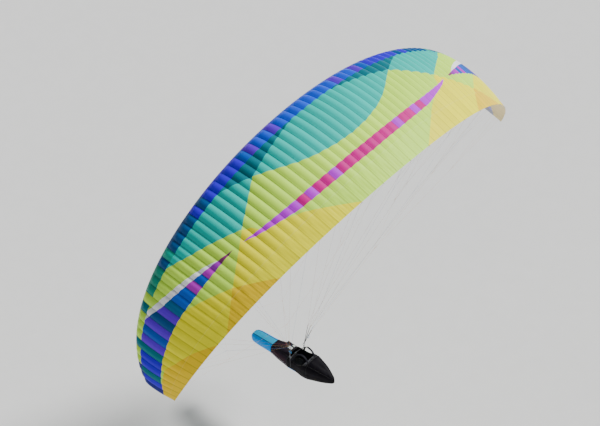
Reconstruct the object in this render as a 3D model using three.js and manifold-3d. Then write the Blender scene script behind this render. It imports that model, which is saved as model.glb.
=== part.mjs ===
// Paraglider: a 72-cell canopy, its line cascades, risers and carabiners, and a pod harness.
// Millimetres. +Z is up, flight is towards -Y, and +X is the left wing.
// The origin is on the canopy's chord line at its middle, straight above the carabiners.
import * as THREE from 'three';
import { mergeVertices } from 'three/addons/utils/BufferGeometryUtils.js';
import Module from 'manifold-3d';

const wasm = await Module();
wasm.setup();

// Driving dimensions of the canopy
const CELLS_PER_SIDE = 36;
const HALF_SPAN = 6400;          // middle to tip, measured along the cloth
const ROOT_CHORD = 2532;
const NOSE_AHEAD = 978;          // root leading edge ahead of the carabiners
const THICKNESS = 0.17;          // profile depth over chord
const TOP_SHARE = 0.58;          // of that depth, above the chord line
const TOP_CAMBER = 0.035;
const LOW_CAMBER = 0.01;
const TIP_WASHOUT = 0.1108;      // twist at the tip, rise over chord
const TOP_BULGE = 0.11;          // height of a cell's pillow over its width
const LOW_BULGE = 0.05;
const MOUTH_DEPTH = 22;          // how far a cell's mouth is dished in
const GAP = 0.3;                 // between faces that touch

// Driving dimensions of the risers and the carabiners
const HOOK_HALF = 234;           // carabiner from the middle plane
const HINGE_DROP = 7200;         // canopy chord line to the harness hinge
const BOW_RADIUS = 20;           // carabiner bar's centre line, both ends
const BOW_RISE = 45;             // lower bow's centre to the upper bow's
const BAR = 11;                  // carabiner bar, across
const BAR_DEPTH = 10;
const RISER_LEAN = 14;           // degrees, outwards
const RISER_FAN = 7;             // degrees between two riser webbings
const RISER_LENGTH = 450;
const TRUNK_TOP = 70;
const WEBBING = 5;               // doubled webbing, through its thickness
const LOOP_WIDTH = 18;
const LINK_BAR = 3.6;
const LINK_RISE = 22;

// Driving dimensions of the harness
const HARNESS_PITCH = 11.4;      // degrees, feet down
const WALL = 14;                 // pod shell
const POD_ROUNDNESS = 3.2;       // exponent of the pod's rounded sections
const FOOT_COVER_END = -640;
const LEG_POD_END = -110;
const TAIL_START = 450;
const TAIL_END = 1048;
const TAIL_WALL = 10;
const RIM = -120;                // top edge of the seat shell beside the hips
const SEAT_TOP = -372;

const X = new THREE.Vector3(1, 0, 0);
const Y = new THREE.Vector3(0, 1, 0);
const Z = new THREE.Vector3(0, 0, 1);
const rad = THREE.MathUtils.degToRad;
const vec = (x, y, z) => new THREE.Vector3(x, y, z);

// Materials, one for each finish
const MATERIALS = {
  teal_cloth: [0x3fcfc0, 0.62, 0],
  green_cloth: [0xcdeb88, 0.62, 0],
  yellow_cloth: [0xf0dd4a, 0.62, 0],
  blue_cloth: [0x2a3fc8, 0.62, 0],
  line_sheath: [0x8a6a3a, 0.75, 0],
  brake_sheath: [0xd8a020, 0.75, 0],
  black_webbing: [0x15151c, 0.85, 0],
  anodised_alloy: [0x9aa0a8, 0.32, 1],
  steel: [0xb8bcc2, 0.28, 1],
  pulley_plastic: [0x202024, 0.5, 0],
  blue_cover: [0x0f9ee0, 0.5, 0],
  dark_cover: [0x22222e, 0.7, 0],
  black_cover: [0x15151d, 0.7, 0],
  foam: [0x2c2c36, 0.9, 0],
  carbon: [0x1c1c20, 0.35, 0],
  instrument_case: [0xe8e8e2, 0.4, 0],
  red_webbing: [0xc01820, 0.8, 0],
};
const material = (name) => {
  const [color, roughness, metalness] = MATERIALS[name];
  return new THREE.MeshStandardMaterial({ name, color, roughness, metalness });
};

const model = new THREE.Group();

function place(parent, name, shape, materialName) {
  const geometry = shape.isBufferGeometry ? shape : geometryOf(shape);
  const mesh = new THREE.Mesh(geometry, material(materialName));
  mesh.name = name;
  parent.add(mesh);
  return mesh;
}

// Closed meshes to solids and back, for cuts and joins
function solidOf(geometry) {
  const bare = geometry.index ? geometry.toNonIndexed() : geometry.clone();
  bare.deleteAttribute('normal');
  bare.deleteAttribute('uv');
  const merged = mergeVertices(bare, 1e-3);
  return new wasm.Manifold(new wasm.Mesh({
    numProp: 3,
    vertProperties: new Float32Array(merged.attributes.position.array),
    triVerts: new Uint32Array(merged.index.array),
  }));
}

function geometryOf(manifold) {
  const mesh = manifold.getMesh();
  const geometry = new THREE.BufferGeometry();
  geometry.setAttribute('position', new THREE.BufferAttribute(mesh.vertProperties, 3));
  geometry.setIndex(new THREE.BufferAttribute(mesh.triVerts, 1));
  return geometry;
}

const joined = (solids) => solids.reduce((whole, next) => whole.add(next));

// A skin over rings of points, closed by a fan or a strip at each end
function loft(rings, stripCaps = false) {
  const count = rings[0].length;
  const positions = rings.flat().flatMap((p) => [p.x, p.y, p.z]);
  const index = [];
  for (let r = 0; r < rings.length - 1; r += 1) {
    for (let i = 0; i < count; i += 1) {
      const a = r * count + i;
      const b = r * count + (i + 1) % count;
      index.push(a, b, b + count, a, b + count, a + count);
    }
  }
  const last = (rings.length - 1) * count;
  for (let i = 1; i < count - 1; i += 1) {
    if (!stripCaps) {
      index.push(0, i + 1, i, last, last + i, last + i + 1);
    }
  }
  if (stripCaps) {
    for (let lo = 0, hi = count - 1; lo + 1 < hi; lo += 1, hi -= 1) {
      index.push(lo, hi, lo + 1, last + lo, last + lo + 1, last + hi);
      if (lo + 2 < hi) {
        index.push(lo + 1, hi, hi - 1, last + lo + 1, last + hi - 1, last + hi);
      }
    }
  }
  const geometry = new THREE.BufferGeometry();
  geometry.setAttribute('position', new THREE.Float32BufferAttribute(positions, 3));
  geometry.setIndex(index);
  return facingOut(geometry);
}

function facingOut(geometry) {
  const p = geometry.attributes.position;
  const index = geometry.index.array;
  const [a, b, c] = [vec(0, 0, 0), vec(0, 0, 0), vec(0, 0, 0)];
  let volume = 0;
  for (let i = 0; i < index.length; i += 3) {
    a.fromBufferAttribute(p, index[i]);
    b.fromBufferAttribute(p, index[i + 1]);
    c.fromBufferAttribute(p, index[i + 2]);
    volume += a.dot(b.cross(c));
  }
  if (volume < 0) {
    for (let i = 0; i < index.length; i += 3) {
      [index[i], index[i + 1]] = [index[i + 1], index[i]];
    }
  }
  return geometry;
}

// A piece of the right side is the left one's mirror image.
const onSide = (geometry, side) => (side > 0 ? geometry : facingOut(geometry.scale(-1, 1, 1)));

// Canopy plan and arch. share runs from 0 in the middle to 1 at the tip, along the cloth.
const archAngle = (share) => 0.892 * share + 0.136 * share ** 3 + 0.494 * share ** 9;
const noseSweep = (share) => 300.6 * share ** 2 + 512.5 * share ** 4 + 382.6 * share ** 10;
const tailSweep = (share) => 913.9 * share ** 2 - 323 * share ** 4 + 112.9 * share ** 10;
const chordAt = (share) => ROOT_CHORD - tailSweep(share) - noseSweep(share);
// Cells are 205 mm wide in the middle and narrow to about 120 mm at the tip.
const ribShare = (cells) => {
  const part = cells / CELLS_PER_SIDE;
  return 1.152 * part - 0.152 * part ** 3.2;
};

function archPoint(share) {
  const steps = Math.max(1, Math.ceil(share * 200));
  const point = { x: 0, z: 0 };
  for (let i = 0; i < steps; i += 1) {
    const angle = archAngle((share * (i + 0.5)) / steps);
    point.x += (Math.cos(angle) * HALF_SPAN * share) / steps;
    point.z -= (Math.sin(angle) * HALF_SPAN * share) / steps;
  }
  return point;
}

// Profile: chord fractions of its points, the same above and below
const PROFILE = [0, 0.01, 0.035, 0.1, 0.18, 0.26, 0.36, 0.48, 0.62, 0.76, 0.89, 1];
const depthShape = (v) => (0.2969 * Math.sqrt(v) - 0.126 * v - 0.3516 * v ** 2
  + 0.2843 * v ** 3 - 0.1015 * v ** 4) / 0.2;
const camberShape = (v) => Math.sin(Math.PI * v ** 0.8);
const MOUTH = [0.01, 0.035];     // chord fractions where the cell mouths lie

// A point of the skin. cells counts ribs from the middle, negative on the right, and a half
// value is the middle of a cell.
function skinPoint(cells, v, above) {
  const side = Math.sign(cells) || 1;
  const share = Math.min(1, ribShare(Math.abs(cells)));
  const chord = chordAt(share);
  const angle = archAngle(share);
  const arch = archPoint(share);
  const tipThinning = 1 - 0.7 * Math.max(0, (share - 0.93) / 0.07) ** 2;
  const depth = THICKNESS * depthShape(v) * tipThinning;
  const section = above
    ? TOP_SHARE * depth + TOP_CAMBER * camberShape(v)
    : (TOP_SHARE - 1) * depth + LOW_CAMBER * camberShape(v);
  const isRib = Math.abs(cells - Math.round(cells)) < 0.01;
  const cellWidth = (ribShare(Math.abs(cells) + 0.5) - ribShare(Math.abs(cells) - 0.5)) * HALF_SPAN;
  const fade = Math.min(1, v / 0.05) * Math.sqrt(1 - v);
  let swell = 0;
  if (!isRib) {
    swell = above ? TOP_BULGE * cellWidth * fade : -LOW_BULGE * cellWidth * fade;
    if (!above && MOUTH.includes(v)) {
      swell = MOUTH_DEPTH * tipThinning;
    }
  }
  const rise = chord * section - (v - 0.3) * chord * TIP_WASHOUT * share ** 2 + swell;
  return vec(
    side * (arch.x + Math.sin(angle) * rise),
    noseSweep(share) - NOSE_AHEAD + v * chord,
    arch.z + Math.cos(angle) * rise,
  );
}

function profileRing(cells) {
  const top = PROFILE.map((v) => skinPoint(cells, v, true));
  const low = PROFILE.slice(1).reverse().map((v) => skinPoint(cells, v, false));
  return [...top, ...low];
}

// Canopy sections, sewn together at ribs: name, first rib, last rib, cloth, side
const CANOPY_SECTIONS = [
  ['canopy_centre', -6, 6, 'teal_cloth', 1],
  ['canopy_inner_left', 6, 15, 'green_cloth', 1],
  ['canopy_inner_right', 6, 15, 'green_cloth', -1],
  ['canopy_outer_left', 15, 25, 'yellow_cloth', 1],
  ['canopy_outer_right', 15, 25, 'yellow_cloth', -1],
  ['canopy_tip_left', 25, CELLS_PER_SIDE, 'blue_cloth', 1],
  ['canopy_tip_right', 25, CELLS_PER_SIDE, 'blue_cloth', -1],
];
const RIB_INSET = GAP / 2 / 205;
for (const [name, first, last, cloth, side] of CANOPY_SECTIONS) {
  const rings = [];
  for (let half = 2 * first; half <= 2 * last; half += 1) {
    let cells = half / 2;
    if (cells === first) {
      cells += RIB_INSET;
    }
    if (cells === last) {
      cells -= RIB_INSET;
    }
    rings.push(profileRing(cells));
  }
  place(model, name, onSide(loft(rings, true), side), cloth);
}

// A straight bar of square section between two points
function bar(from, to, width, stretch = 0) {
  const along = to.clone().sub(from);
  const length = along.length() + 2 * stretch;
  const geometry = new THREE.BoxGeometry(width, width, length);
  const turn = new THREE.Quaternion().setFromUnitVectors(Z, along.normalize());
  geometry.applyQuaternion(turn);
  const middle = from.clone().add(to).multiplyScalar(0.5);
  geometry.translate(middle.x, middle.y, middle.z);
  return solidOf(geometry);
}

// A sewn bundle where lines meet. The ones above leave it side by side, place by place.
const KNOT_DEPTH = 5;
const KNOT_HEIGHT = 8;
function knot(at, lines, pitch) {
  const geometry = new THREE.BoxGeometry(lines * pitch + 1.5, KNOT_DEPTH, KNOT_HEIGHT);
  geometry.translate(at.x, at.y, at.z);
  return solidOf(geometry);
}
const beside = (at, line, lines, pitch, side) => at.clone()
  .add(vec(side * pitch * (line - (lines - 1) / 2), 0, 0));

// Riser frame: its origin is the middle of the carabiner's upper bar
function riserMatrix(side) {
  const matrix = new THREE.Matrix4().makeRotationY(rad(side * RISER_LEAN));
  return matrix.setPosition(side * HOOK_HALF, 0, -HINGE_DROP + BOW_RISE + BOW_RADIUS);
}

// Riser webbings: name, fan steps from the middle one
const WEBBINGS = [['a', -1], ['b', 0], ['c', 1]];
const LINK_RING = 4.3;           // webbing loop round the link's bar, outer radius
const WEBBING_WIDTH = 12;
const WEBBING_THICK = 2.4;
const KNOT_DROP = LINK_RISE + LINK_BAR / 2 + GAP;
const fanMatrix = (fan) => new THREE.Matrix4().makeRotationX(rad(-fan * RISER_FAN));
const linkSeat = (side, fan) => vec(0, 0, RISER_LENGTH + KNOT_DROP + 5)
  .applyMatrix4(fanMatrix(fan)).applyMatrix4(riserMatrix(side));

// Line rows: name, chord fraction, riser fan step, ribs in groups of one main line each
const LINE_GROUPS = [[1, 4, 7, 10], [13, 16, 19, 22], [25, 28, 31, 33]];
const LINE_ROWS = [
  ['a_lines', 0.1, -1],
  ['b_lines', 0.36, 0],
  ['c_lines', 0.62, 1],
];
// Stabiliser line's three ends at the tip: rib, chord fraction
const STABILISER_ENDS = [[34, 0.1], [35, 0.36], [35, 0.62]];
const BRAKE_RIBS = [2, 5, 8, 12, 16, 20, 24, 28, 32];
const MAIN_LINE = 2.2;
const MIDDLE_LINE = 1.7;
const UPPER_LINE = 1.3;
const MAIN_SHARE = 0.6;          // of the height from link to canopy
const MIDDLE_SHARE = 0.82;
const BRAKE_FORK = 0.42;
const BRAKE_MIDDLE = 0.74;
const FOOT_PITCH = 4;            // between lines side by side on a quick link
const MAIN_PITCH = 4;
const UPPER_PITCH = 3;
const STABILISER_PITCH = 3;

// Where a line meets the lower skin, with the skin's direction outwards there
function seat(cells, v, side) {
  const point = skinPoint(side * cells, v, false);
  const ahead = skinPoint(side * cells, v - 0.02, false);
  const inboard = skinPoint(side * (cells - 1), v, false);
  const chordwise = point.clone().sub(ahead);
  const spanwise = point.clone().sub(inboard).multiplyScalar(side);
  return { point, out: chordwise.cross(spanwise).normalize() };
}

const meanOf = (points) => points
  .reduce((sum, p) => sum.add(p), vec(0, 0, 0)).multiplyScalar(1 / points.length);
const between = (from, to, share) => from.clone().lerp(to, share);

// An upper line, cut off square just short of the skin
function upperLine(from, { point, out }) {
  const along = point.clone().sub(from).normalize();
  const slant = along.angleTo(out.clone().negate());
  const shortBy = (GAP + UPPER_LINE * Math.SQRT1_2 * Math.sin(slant)) / Math.cos(slant);
  return bar(from, point.clone().addScaledVector(along, -shortBy), UPPER_LINE);
}

// A main line that splits into middle lines, each with its upper lines. They fan outwards.
function cascade(foot, axis, seats, perSplit, forkShare, splitShare, side) {
  const fork = between(axis, meanOf(seats.map((s) => s.point)), forkShare);
  const splits = seats.length / perSplit;
  const pieces = [bar(foot, fork, MAIN_LINE), knot(fork, splits, MAIN_PITCH)];
  for (let i = 0; i < splits; i += 1) {
    const group = seats.slice(i * perSplit, (i + 1) * perSplit);
    const split = between(axis, meanOf(group.map((s) => s.point)), splitShare);
    pieces.push(bar(beside(fork, i, splits, MAIN_PITCH, side), split, MIDDLE_LINE));
    pieces.push(knot(split, perSplit, UPPER_PITCH));
    group.forEach((end, j) => {
      pieces.push(upperLine(beside(split, j, perSplit, UPPER_PITCH, side), end));
    });
  }
  return pieces;
}

for (const side of [1, -1]) {
  const hand = side > 0 ? 'left' : 'right';
  for (const [name, v, fan] of LINE_ROWS) {
    const foot = linkSeat(side, fan);
    const mains = LINE_GROUPS.length + 1;
    const pieces = [knot(foot, mains, FOOT_PITCH)];
    LINE_GROUPS.forEach((group, i) => {
      const seats = group.map((rib) => seat(rib, v, side));
      const start = beside(foot, i, mains, FOOT_PITCH, side);
      pieces.push(...cascade(start, foot, seats, 2, MAIN_SHARE, MIDDLE_SHARE, side));
    });
    if (name === 'b_lines') {
      const ends = STABILISER_ENDS.map(([rib, at]) => seat(rib, at, side));
      const fork = between(foot, meanOf(ends.map((s) => s.point)), MIDDLE_SHARE);
      const fan3 = (i) => fork.clone().add(vec(0, STABILISER_PITCH * (i - 1), 0));
      pieces.push(bar(beside(foot, mains - 1, mains, FOOT_PITCH, side), fork, MAIN_LINE));
      const bundle = new THREE.BoxGeometry(KNOT_DEPTH, 3.5 * STABILISER_PITCH, KNOT_HEIGHT);
      pieces.push(solidOf(bundle.translate(fork.x, fork.y, fork.z)));
      ends.forEach((end, i) => pieces.push(upperLine(fan3(i), end)));
    }
    place(model, `${name}_${hand}`, joined(pieces), 'line_sheath');
  }
}

// Flat outlines pushed to a thickness: in the YZ plane along X, or in the XZ plane along Y
function pushed(shape, depth, up = 'YZ') {
  const geometry = new THREE.ExtrudeGeometry(shape, { depth, bevelEnabled: false, curveSegments: 6 });
  geometry.translate(0, 0, -depth / 2);
  const basis = up === 'YZ'
    ? new THREE.Matrix4().makeBasis(Y, Z, X)
    : new THREE.Matrix4().makeBasis(X, Z, Y.clone().negate());
  return geometry.applyMatrix4(basis);
}

// A long hole or disc with round ends: half width, bottom and top of the round centres
function roundEnded(Kind, halfWidth, low, high) {
  const path = new Kind();
  path.moveTo(halfWidth, low);
  path.lineTo(halfWidth, high);
  path.absarc(0, high, halfWidth, 0, Math.PI, false);
  path.lineTo(-halfWidth, low);
  path.absarc(0, low, halfWidth, Math.PI, 2 * Math.PI, false);
  return path;
}

function boxOutline(Kind, halfWidth, low, high) {
  const path = new Kind();
  path.moveTo(-halfWidth, low);
  path.lineTo(halfWidth, low);
  path.lineTo(halfWidth, high);
  path.lineTo(-halfWidth, high);
  path.closePath();
  return path;
}

function eightSided(Kind, radius, middle) {
  const path = new Kind();
  for (let i = 0; i < 8; i += 1) {
    const turn = ((i + 0.5) * Math.PI) / 4;
    const [x, z] = [radius * Math.cos(turn), middle + radius * Math.sin(turn)];
    if (i === 0) {
      path.moveTo(x, z);
    } else {
      path.lineTo(x, z);
    }
  }
  path.closePath();
  return path;
}

// Carabiners: a long ring that stands fore and aft, its lower bow round the hinge line
function carabiner() {
  const ring = roundEnded(THREE.Shape, BOW_RADIUS + BAR / 2, 0, BOW_RISE);
  ring.holes.push(roundEnded(THREE.Path, BOW_RADIUS - BAR / 2, 0, BOW_RISE));
  const geometry = new THREE.ExtrudeGeometry(ring, {
    depth: BAR_DEPTH - 4, bevelEnabled: true, bevelSize: 2, bevelThickness: 2, bevelOffset: -2,
    bevelSegments: 1, curveSegments: 7,
  });
  geometry.translate(0, 0, -(BAR_DEPTH - 4) / 2);
  return geometry.applyMatrix4(new THREE.Matrix4().makeBasis(Y, Z, X));
}

// Webbing folded round a bar. The bar's middle is at height 0 and the webbing leaves upwards.
const SLOT_HALF = 6.8;
const SLOT_BELOW = 9.4;
const SLOT_ABOVE = 7.1;
const FOLD = 2.5;
function foldedLoop(slotHalf, length) {
  const outer = slotHalf + FOLD;
  const shape = new THREE.Shape();
  shape.moveTo(-outer, -SLOT_BELOW + 4);
  shape.lineTo(-outer + 4, -SLOT_BELOW - FOLD);
  shape.lineTo(outer - 4, -SLOT_BELOW - FOLD);
  shape.lineTo(outer, -SLOT_BELOW + 4);
  shape.lineTo(outer, SLOT_ABOVE - 2);
  shape.lineTo(WEBBING / 2, SLOT_ABOVE + 16);
  shape.lineTo(WEBBING / 2, length);
  shape.lineTo(-WEBBING / 2, length);
  shape.lineTo(-WEBBING / 2, SLOT_ABOVE + 16);
  shape.lineTo(-outer, SLOT_ABOVE - 2);
  shape.closePath();
  shape.holes.push(boxOutline(THREE.Path, slotHalf, -SLOT_BELOW, SLOT_ABOVE));
  return shape;
}

// Risers: three webbings fanned from one trunk, each with a loop round its quick link
function riser() {
  const pieces = [solidOf(pushed(foldedLoop(SLOT_HALF, TRUNK_TOP), LOOP_WIDTH, 'XZ'))];
  for (const [, fan] of WEBBINGS) {
    const strap = boxOutline(THREE.Shape, WEBBING_THICK / 2, TRUNK_TOP - 30, RISER_LENGTH - 3.5);
    const end = eightSided(THREE.Shape, LINK_RING, RISER_LENGTH);
    end.holes.push(eightSided(THREE.Path, LINK_RING - 1.4, RISER_LENGTH));
    const whole = solidOf(pushed(strap, WEBBING_WIDTH, 'XZ'))
      .add(solidOf(pushed(end, WEBBING_WIDTH, 'XZ')));
    pieces.push(whole.transform(fanMatrix(fan).toArray()));
  }
  return joined(pieces);
}

// Quick links: a small ring with square shoulders, its lower bar through the webbing's loop
function quickLink() {
  const reach = LINK_BAR / 2;
  const half = WEBBING_WIDTH / 2 + 0.9;
  const ring = boxOutline(THREE.Shape, half + LINK_BAR, -reach, LINK_RISE + reach);
  ring.holes.push(boxOutline(THREE.Path, half, reach, LINK_RISE - reach));
  return pushed(ring, LINK_BAR, 'YZ').translate(0, 0, RISER_LENGTH);
}

// Brake pulley on the rear webbing, and the handle that is parked under it
const PULLEY_UP = 330;
const PULLEY_RADIUS = 9;
const PULLEY_THICK = 8;
const HANDLE_HALF = 42;
const HANDLE_DROP = 118;
const HANDLE_CORD = 9;
const pulleyAt = vec(WEBBING_THICK / 2 + GAP + PULLEY_THICK / 2, 0, PULLEY_UP);

function pulley() {
  const geometry = new THREE.CylinderGeometry(PULLEY_RADIUS, PULLEY_RADIUS, PULLEY_THICK, 12);
  geometry.rotateZ(Math.PI / 2);
  return geometry.translate(pulleyAt.x, pulleyAt.y, pulleyAt.z);
}

function triangleOutline(Kind, half, top, bottom) {
  const path = new Kind();
  path.moveTo(-3, top);
  path.lineTo(-half, bottom + half * 0.35);
  path.lineTo(-half * 0.6, bottom);
  path.lineTo(half * 0.6, bottom);
  path.lineTo(half, bottom + half * 0.35);
  path.lineTo(3, top);
  path.closePath();
  return path;
}

function brakeHandle() {
  const top = PULLEY_UP - PULLEY_RADIUS - GAP;
  const shape = triangleOutline(THREE.Shape, HANDLE_HALF, top, top - HANDLE_DROP);
  shape.holes.push(triangleOutline(
    THREE.Path, HANDLE_HALF - HANDLE_CORD, top - 26, top - HANDLE_DROP + HANDLE_CORD,
  ));
  return pushed(shape, PULLEY_THICK, 'YZ').translate(pulleyAt.x, 0, 0);
}

for (const side of [1, -1]) {
  const hand = side > 0 ? 'left' : 'right';
  const ring = place(model, `carabiner_${hand}`, carabiner(), 'anodised_alloy');
  ring.position.set(side * HOOK_HALF, 0, -HINGE_DROP);

  const group = new THREE.Group();
  riserMatrix(side).decompose(group.position, group.quaternion, group.scale);
  model.add(group);
  place(group, `riser_${hand}`, riser(), 'black_webbing');
  for (const [name, fan] of WEBBINGS) {
    const link = place(group, `quick_link_${name}_${hand}`, quickLink(), 'steel');
    link.quaternion.setFromRotationMatrix(fanMatrix(fan));
  }
  const rear = new THREE.Group();
  rear.quaternion.setFromRotationMatrix(fanMatrix(1));
  group.add(rear);
  const pulleyMesh = place(rear, `brake_pulley_${hand}`, pulley(), 'pulley_plastic');
  const handle = place(rear, `brake_handle_${hand}`, brakeHandle(), 'blue_cover');
  if (side < 0) {
    pulleyMesh.position.x = -2 * pulleyAt.x;
    handle.position.x = -2 * pulleyAt.x;
  }

  const sheave = vec(side * pulleyAt.x, 0, PULLEY_UP + PULLEY_RADIUS + GAP)
    .applyMatrix4(fanMatrix(1)).applyMatrix4(riserMatrix(side));
  const seats = BRAKE_RIBS.map((rib) => seat(rib, 1, side));
  const pieces = cascade(sheave, sheave, seats, 3, BRAKE_FORK, BRAKE_MIDDLE, side);
  place(model, `brake_lines_${hand}`, joined(pieces), 'brake_sheath');
}

// Harness, drawn level with the hinge line as its origin and then pitched feet down
const harness = new THREE.Group();
harness.position.set(0, 0, -HINGE_DROP);
harness.rotation.x = rad(HARNESS_PITCH);
model.add(harness);

const FACET = Math.cos(rad(7.5)) ** (2 / POD_ROUNDNESS);
const SEAT_HALF = (HOOK_HALF - WEBBING / 2 - GAP) / FACET;
// Pod sections: place along Y, half width, half height, middle's height
const POD_SECTIONS = [
  [-1283, 55, 50, -256],
  [-1262, 100, 90, -256],
  [-1200, 132, 118, -256],
  [-1050, 148, 130, -256],
  [-661, 158, 136, -256],
  [-430, 198, 171, -256],
  [-200, 222, 198, -256],
  [-110, SEAT_HALF, 214, -256],
  [120, SEAT_HALF, 226, -250],
  [300, 250, 256, -240],
  [TAIL_START, 246, 254, -226],
  [600, 212, 216, -227],
  [750, 170, 178, -234],
  [880, 118, 136, -248],
  [980, 70, 99, -258],
  [1030, 38, 75, -264],
  [TAIL_END, 15, 53, -266],
];

function podSection(at) {
  const next = POD_SECTIONS.findIndex((row) => row[0] >= at - 1e-6);
  const high = POD_SECTIONS[Math.max(1, next)];
  const low = POD_SECTIONS[Math.max(1, next) - 1];
  const share = (at - low[0]) / (high[0] - low[0]);
  return low.map((value, i) => value + (high[i] - value) * share);
}

// The pod's body between two places, drawn in by inset all round
const POD_SIDES = 24;
function podBody(from, to, inset = 0) {
  const inner = POD_SECTIONS.map((row) => row[0]).filter((at) => at > from + 1 && at < to - 1);
  const rings = [from, ...inner, to].map((at) => {
    const [, half, height, middle] = podSection(at);
    return Array.from({ length: POD_SIDES }, (_, i) => {
      const turn = ((i + 0.5) * 2 * Math.PI) / POD_SIDES;
      const [c, s] = [Math.cos(turn), Math.sin(turn)];
      const round = (value) => Math.sign(value) * Math.abs(value) ** (2 / POD_ROUNDNESS);
      return vec((half - inset) * round(c), at, middle + (height - inset) * round(s));
    });
  });
  return solidOf(loft(rings));
}

// A block across the harness from its side outline, given as y, z pairs
function crossBlock(width, outline) {
  const shape = new THREE.Shape(outline.map(([y, z]) => new THREE.Vector2(y, z)));
  return solidOf(pushed(shape, width, 'YZ'));
}

const seam = GAP / 2;
const footWell = podBody(-1283 + 1.6 * WALL, FOOT_COVER_END + 50, WALL);
place(harness, 'foot_cover', podBody(-1283, FOOT_COVER_END - seam).subtract(footWell), 'blue_cover');

const legSpace = podBody(FOOT_COVER_END - 50, LEG_POD_END + 50, WALL);
place(
  harness, 'leg_pod',
  podBody(FOOT_COVER_END + seam, LEG_POD_END - seam).subtract(legSpace), 'dark_cover',
);

const seatSpace = podBody(LEG_POD_END - 50, TAIL_START - 20, WALL);
const aboveRim = crossBlock(700, [
  [LEG_POD_END - 60, RIM], [200, RIM], [380, -34], [TAIL_START - 20, -24], [TAIL_START - 20, 300],
  [LEG_POD_END - 60, 300],
]);
place(
  harness, 'seat_shell',
  podBody(LEG_POD_END + seam, TAIL_START - seam).subtract(seatSpace).subtract(aboveRim),
  'black_cover',
);
// The fairing is a skin over air, open towards the seat shell's rear wall
const tailAir = podBody(TAIL_START - 50, TAIL_END - 2.5 * TAIL_WALL, TAIL_WALL);
place(
  harness, 'tail_fairing',
  podBody(TAIL_START + seam, TAIL_END).subtract(tailAir), 'black_cover',
);

// Foam under the seat, and a back pad that leans on the shell's floor and rear wall
const padSpace = podBody(-250, TAIL_START - 20 - GAP, WALL + GAP);
const PROTECTOR_TOP = SEAT_TOP - 38;
const seatFoam = crossBlock(700, [
  [-190, -600], [128, -600], [128, PROTECTOR_TOP], [-190, PROTECTOR_TOP],
]);
place(harness, 'seat_protector', padSpace.intersect(seatFoam), 'foam');
const BACK_TOP = -8;
const BACK_THICK = 45;
const backFront = [[130, SEAT_TOP], [372, BACK_TOP]];
const backLean = Math.atan2(backFront[1][1] - backFront[0][1], backFront[1][0] - backFront[0][0]);
const backBehind = ([y, z]) => [y + BACK_THICK * Math.sin(backLean), z - BACK_THICK * Math.cos(backLean)];
const [rearLow, rearHigh] = backFront.map(backBehind);
const backPad = crossBlock(700, [
  backFront[0], [130, -600], [rearLow[0] + 15, -600], rearLow, rearHigh, [TAIL_START, rearHigh[1]],
  [TAIL_START, BACK_TOP], backFront[1],
]);
place(harness, 'back_pad', padSpace.intersect(backPad), 'foam');

const PAD_FRONT = -175;
const PAD_LENGTH = 300;
const PAD_MIDDLE = PAD_FRONT + PAD_LENGTH / 2;
const PLATE_THICK = 8;
const seatPlate = new THREE.BoxGeometry(330, PAD_LENGTH - 10, PLATE_THICK);
seatPlate.translate(0, PAD_MIDDLE, PROTECTOR_TOP + GAP + PLATE_THICK / 2);
place(harness, 'seat_plate', seatPlate, 'carbon');
const padBottom = PROTECTOR_TOP + PLATE_THICK + 2 * GAP;
const seatPad = new THREE.BoxGeometry(340, PAD_LENGTH, SEAT_TOP - padBottom);
seatPad.translate(0, PAD_MIDDLE, (SEAT_TOP + padBottom) / 2);
place(harness, 'seat_pad', seatPad, 'foam');

// Foot board across the toe of the pod, and the speed bar stowed ahead of it
const BOARD_AT = -1170;
const BOARD_THICK = 9;
const boardSpace = podBody(-1283 + 1.6 * WALL, FOOT_COVER_END, WALL + GAP);
const board = crossBlock(400, [
  [BOARD_AT, -400], [BOARD_AT + BOARD_THICK, -400], [BOARD_AT + BOARD_THICK, -100],
  [BOARD_AT, -100],
]);
place(harness, 'foot_board', boardSpace.intersect(board), 'carbon');
const BAR_RADIUS = 7;
const speedBar = new THREE.CylinderGeometry(BAR_RADIUS, BAR_RADIUS, 200, 12);
speedBar.rotateZ(Math.PI / 2);
speedBar.translate(0, BOARD_AT - GAP - BAR_RADIUS, -300);
place(harness, 'speed_bar', speedBar, 'anodised_alloy');

// Instrument deck, a wedge on the leg pod whose top faces the seat, with two blank instruments
const DECK_FRONT = [-350, 16];
const DECK_REAR = [-114, -28];
const deckOutside = podBody(FOOT_COVER_END + 1, LEG_POD_END - 1, -GAP);
const deck = crossBlock(262, [
  [DECK_FRONT[0], -160], [DECK_REAR[0], -160], DECK_REAR, DECK_FRONT,
]);
place(harness, 'instrument_deck', deck.subtract(deckOutside), 'dark_cover');
const deckTilt = Math.atan2(DECK_REAR[1] - DECK_FRONT[1], DECK_REAR[0] - DECK_FRONT[0]);
// Instruments: name, width, length, height, place across, place along the deck
const INSTRUMENTS = [
  ['instrument_large', 92, 128, 20, 4, 163],
  ['instrument_small', 66, 92, 18, -92, 184],
];
for (const [name, width, length, height, across, along] of INSTRUMENTS) {
  const box = new THREE.BoxGeometry(width, length, height);
  box.translate(across, along, height / 2 + GAP);
  const mesh = place(harness, name, box, 'instrument_case');
  mesh.position.set(0, DECK_FRONT[0], DECK_FRONT[1]);
  mesh.rotation.x = deckTilt;
}

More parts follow.
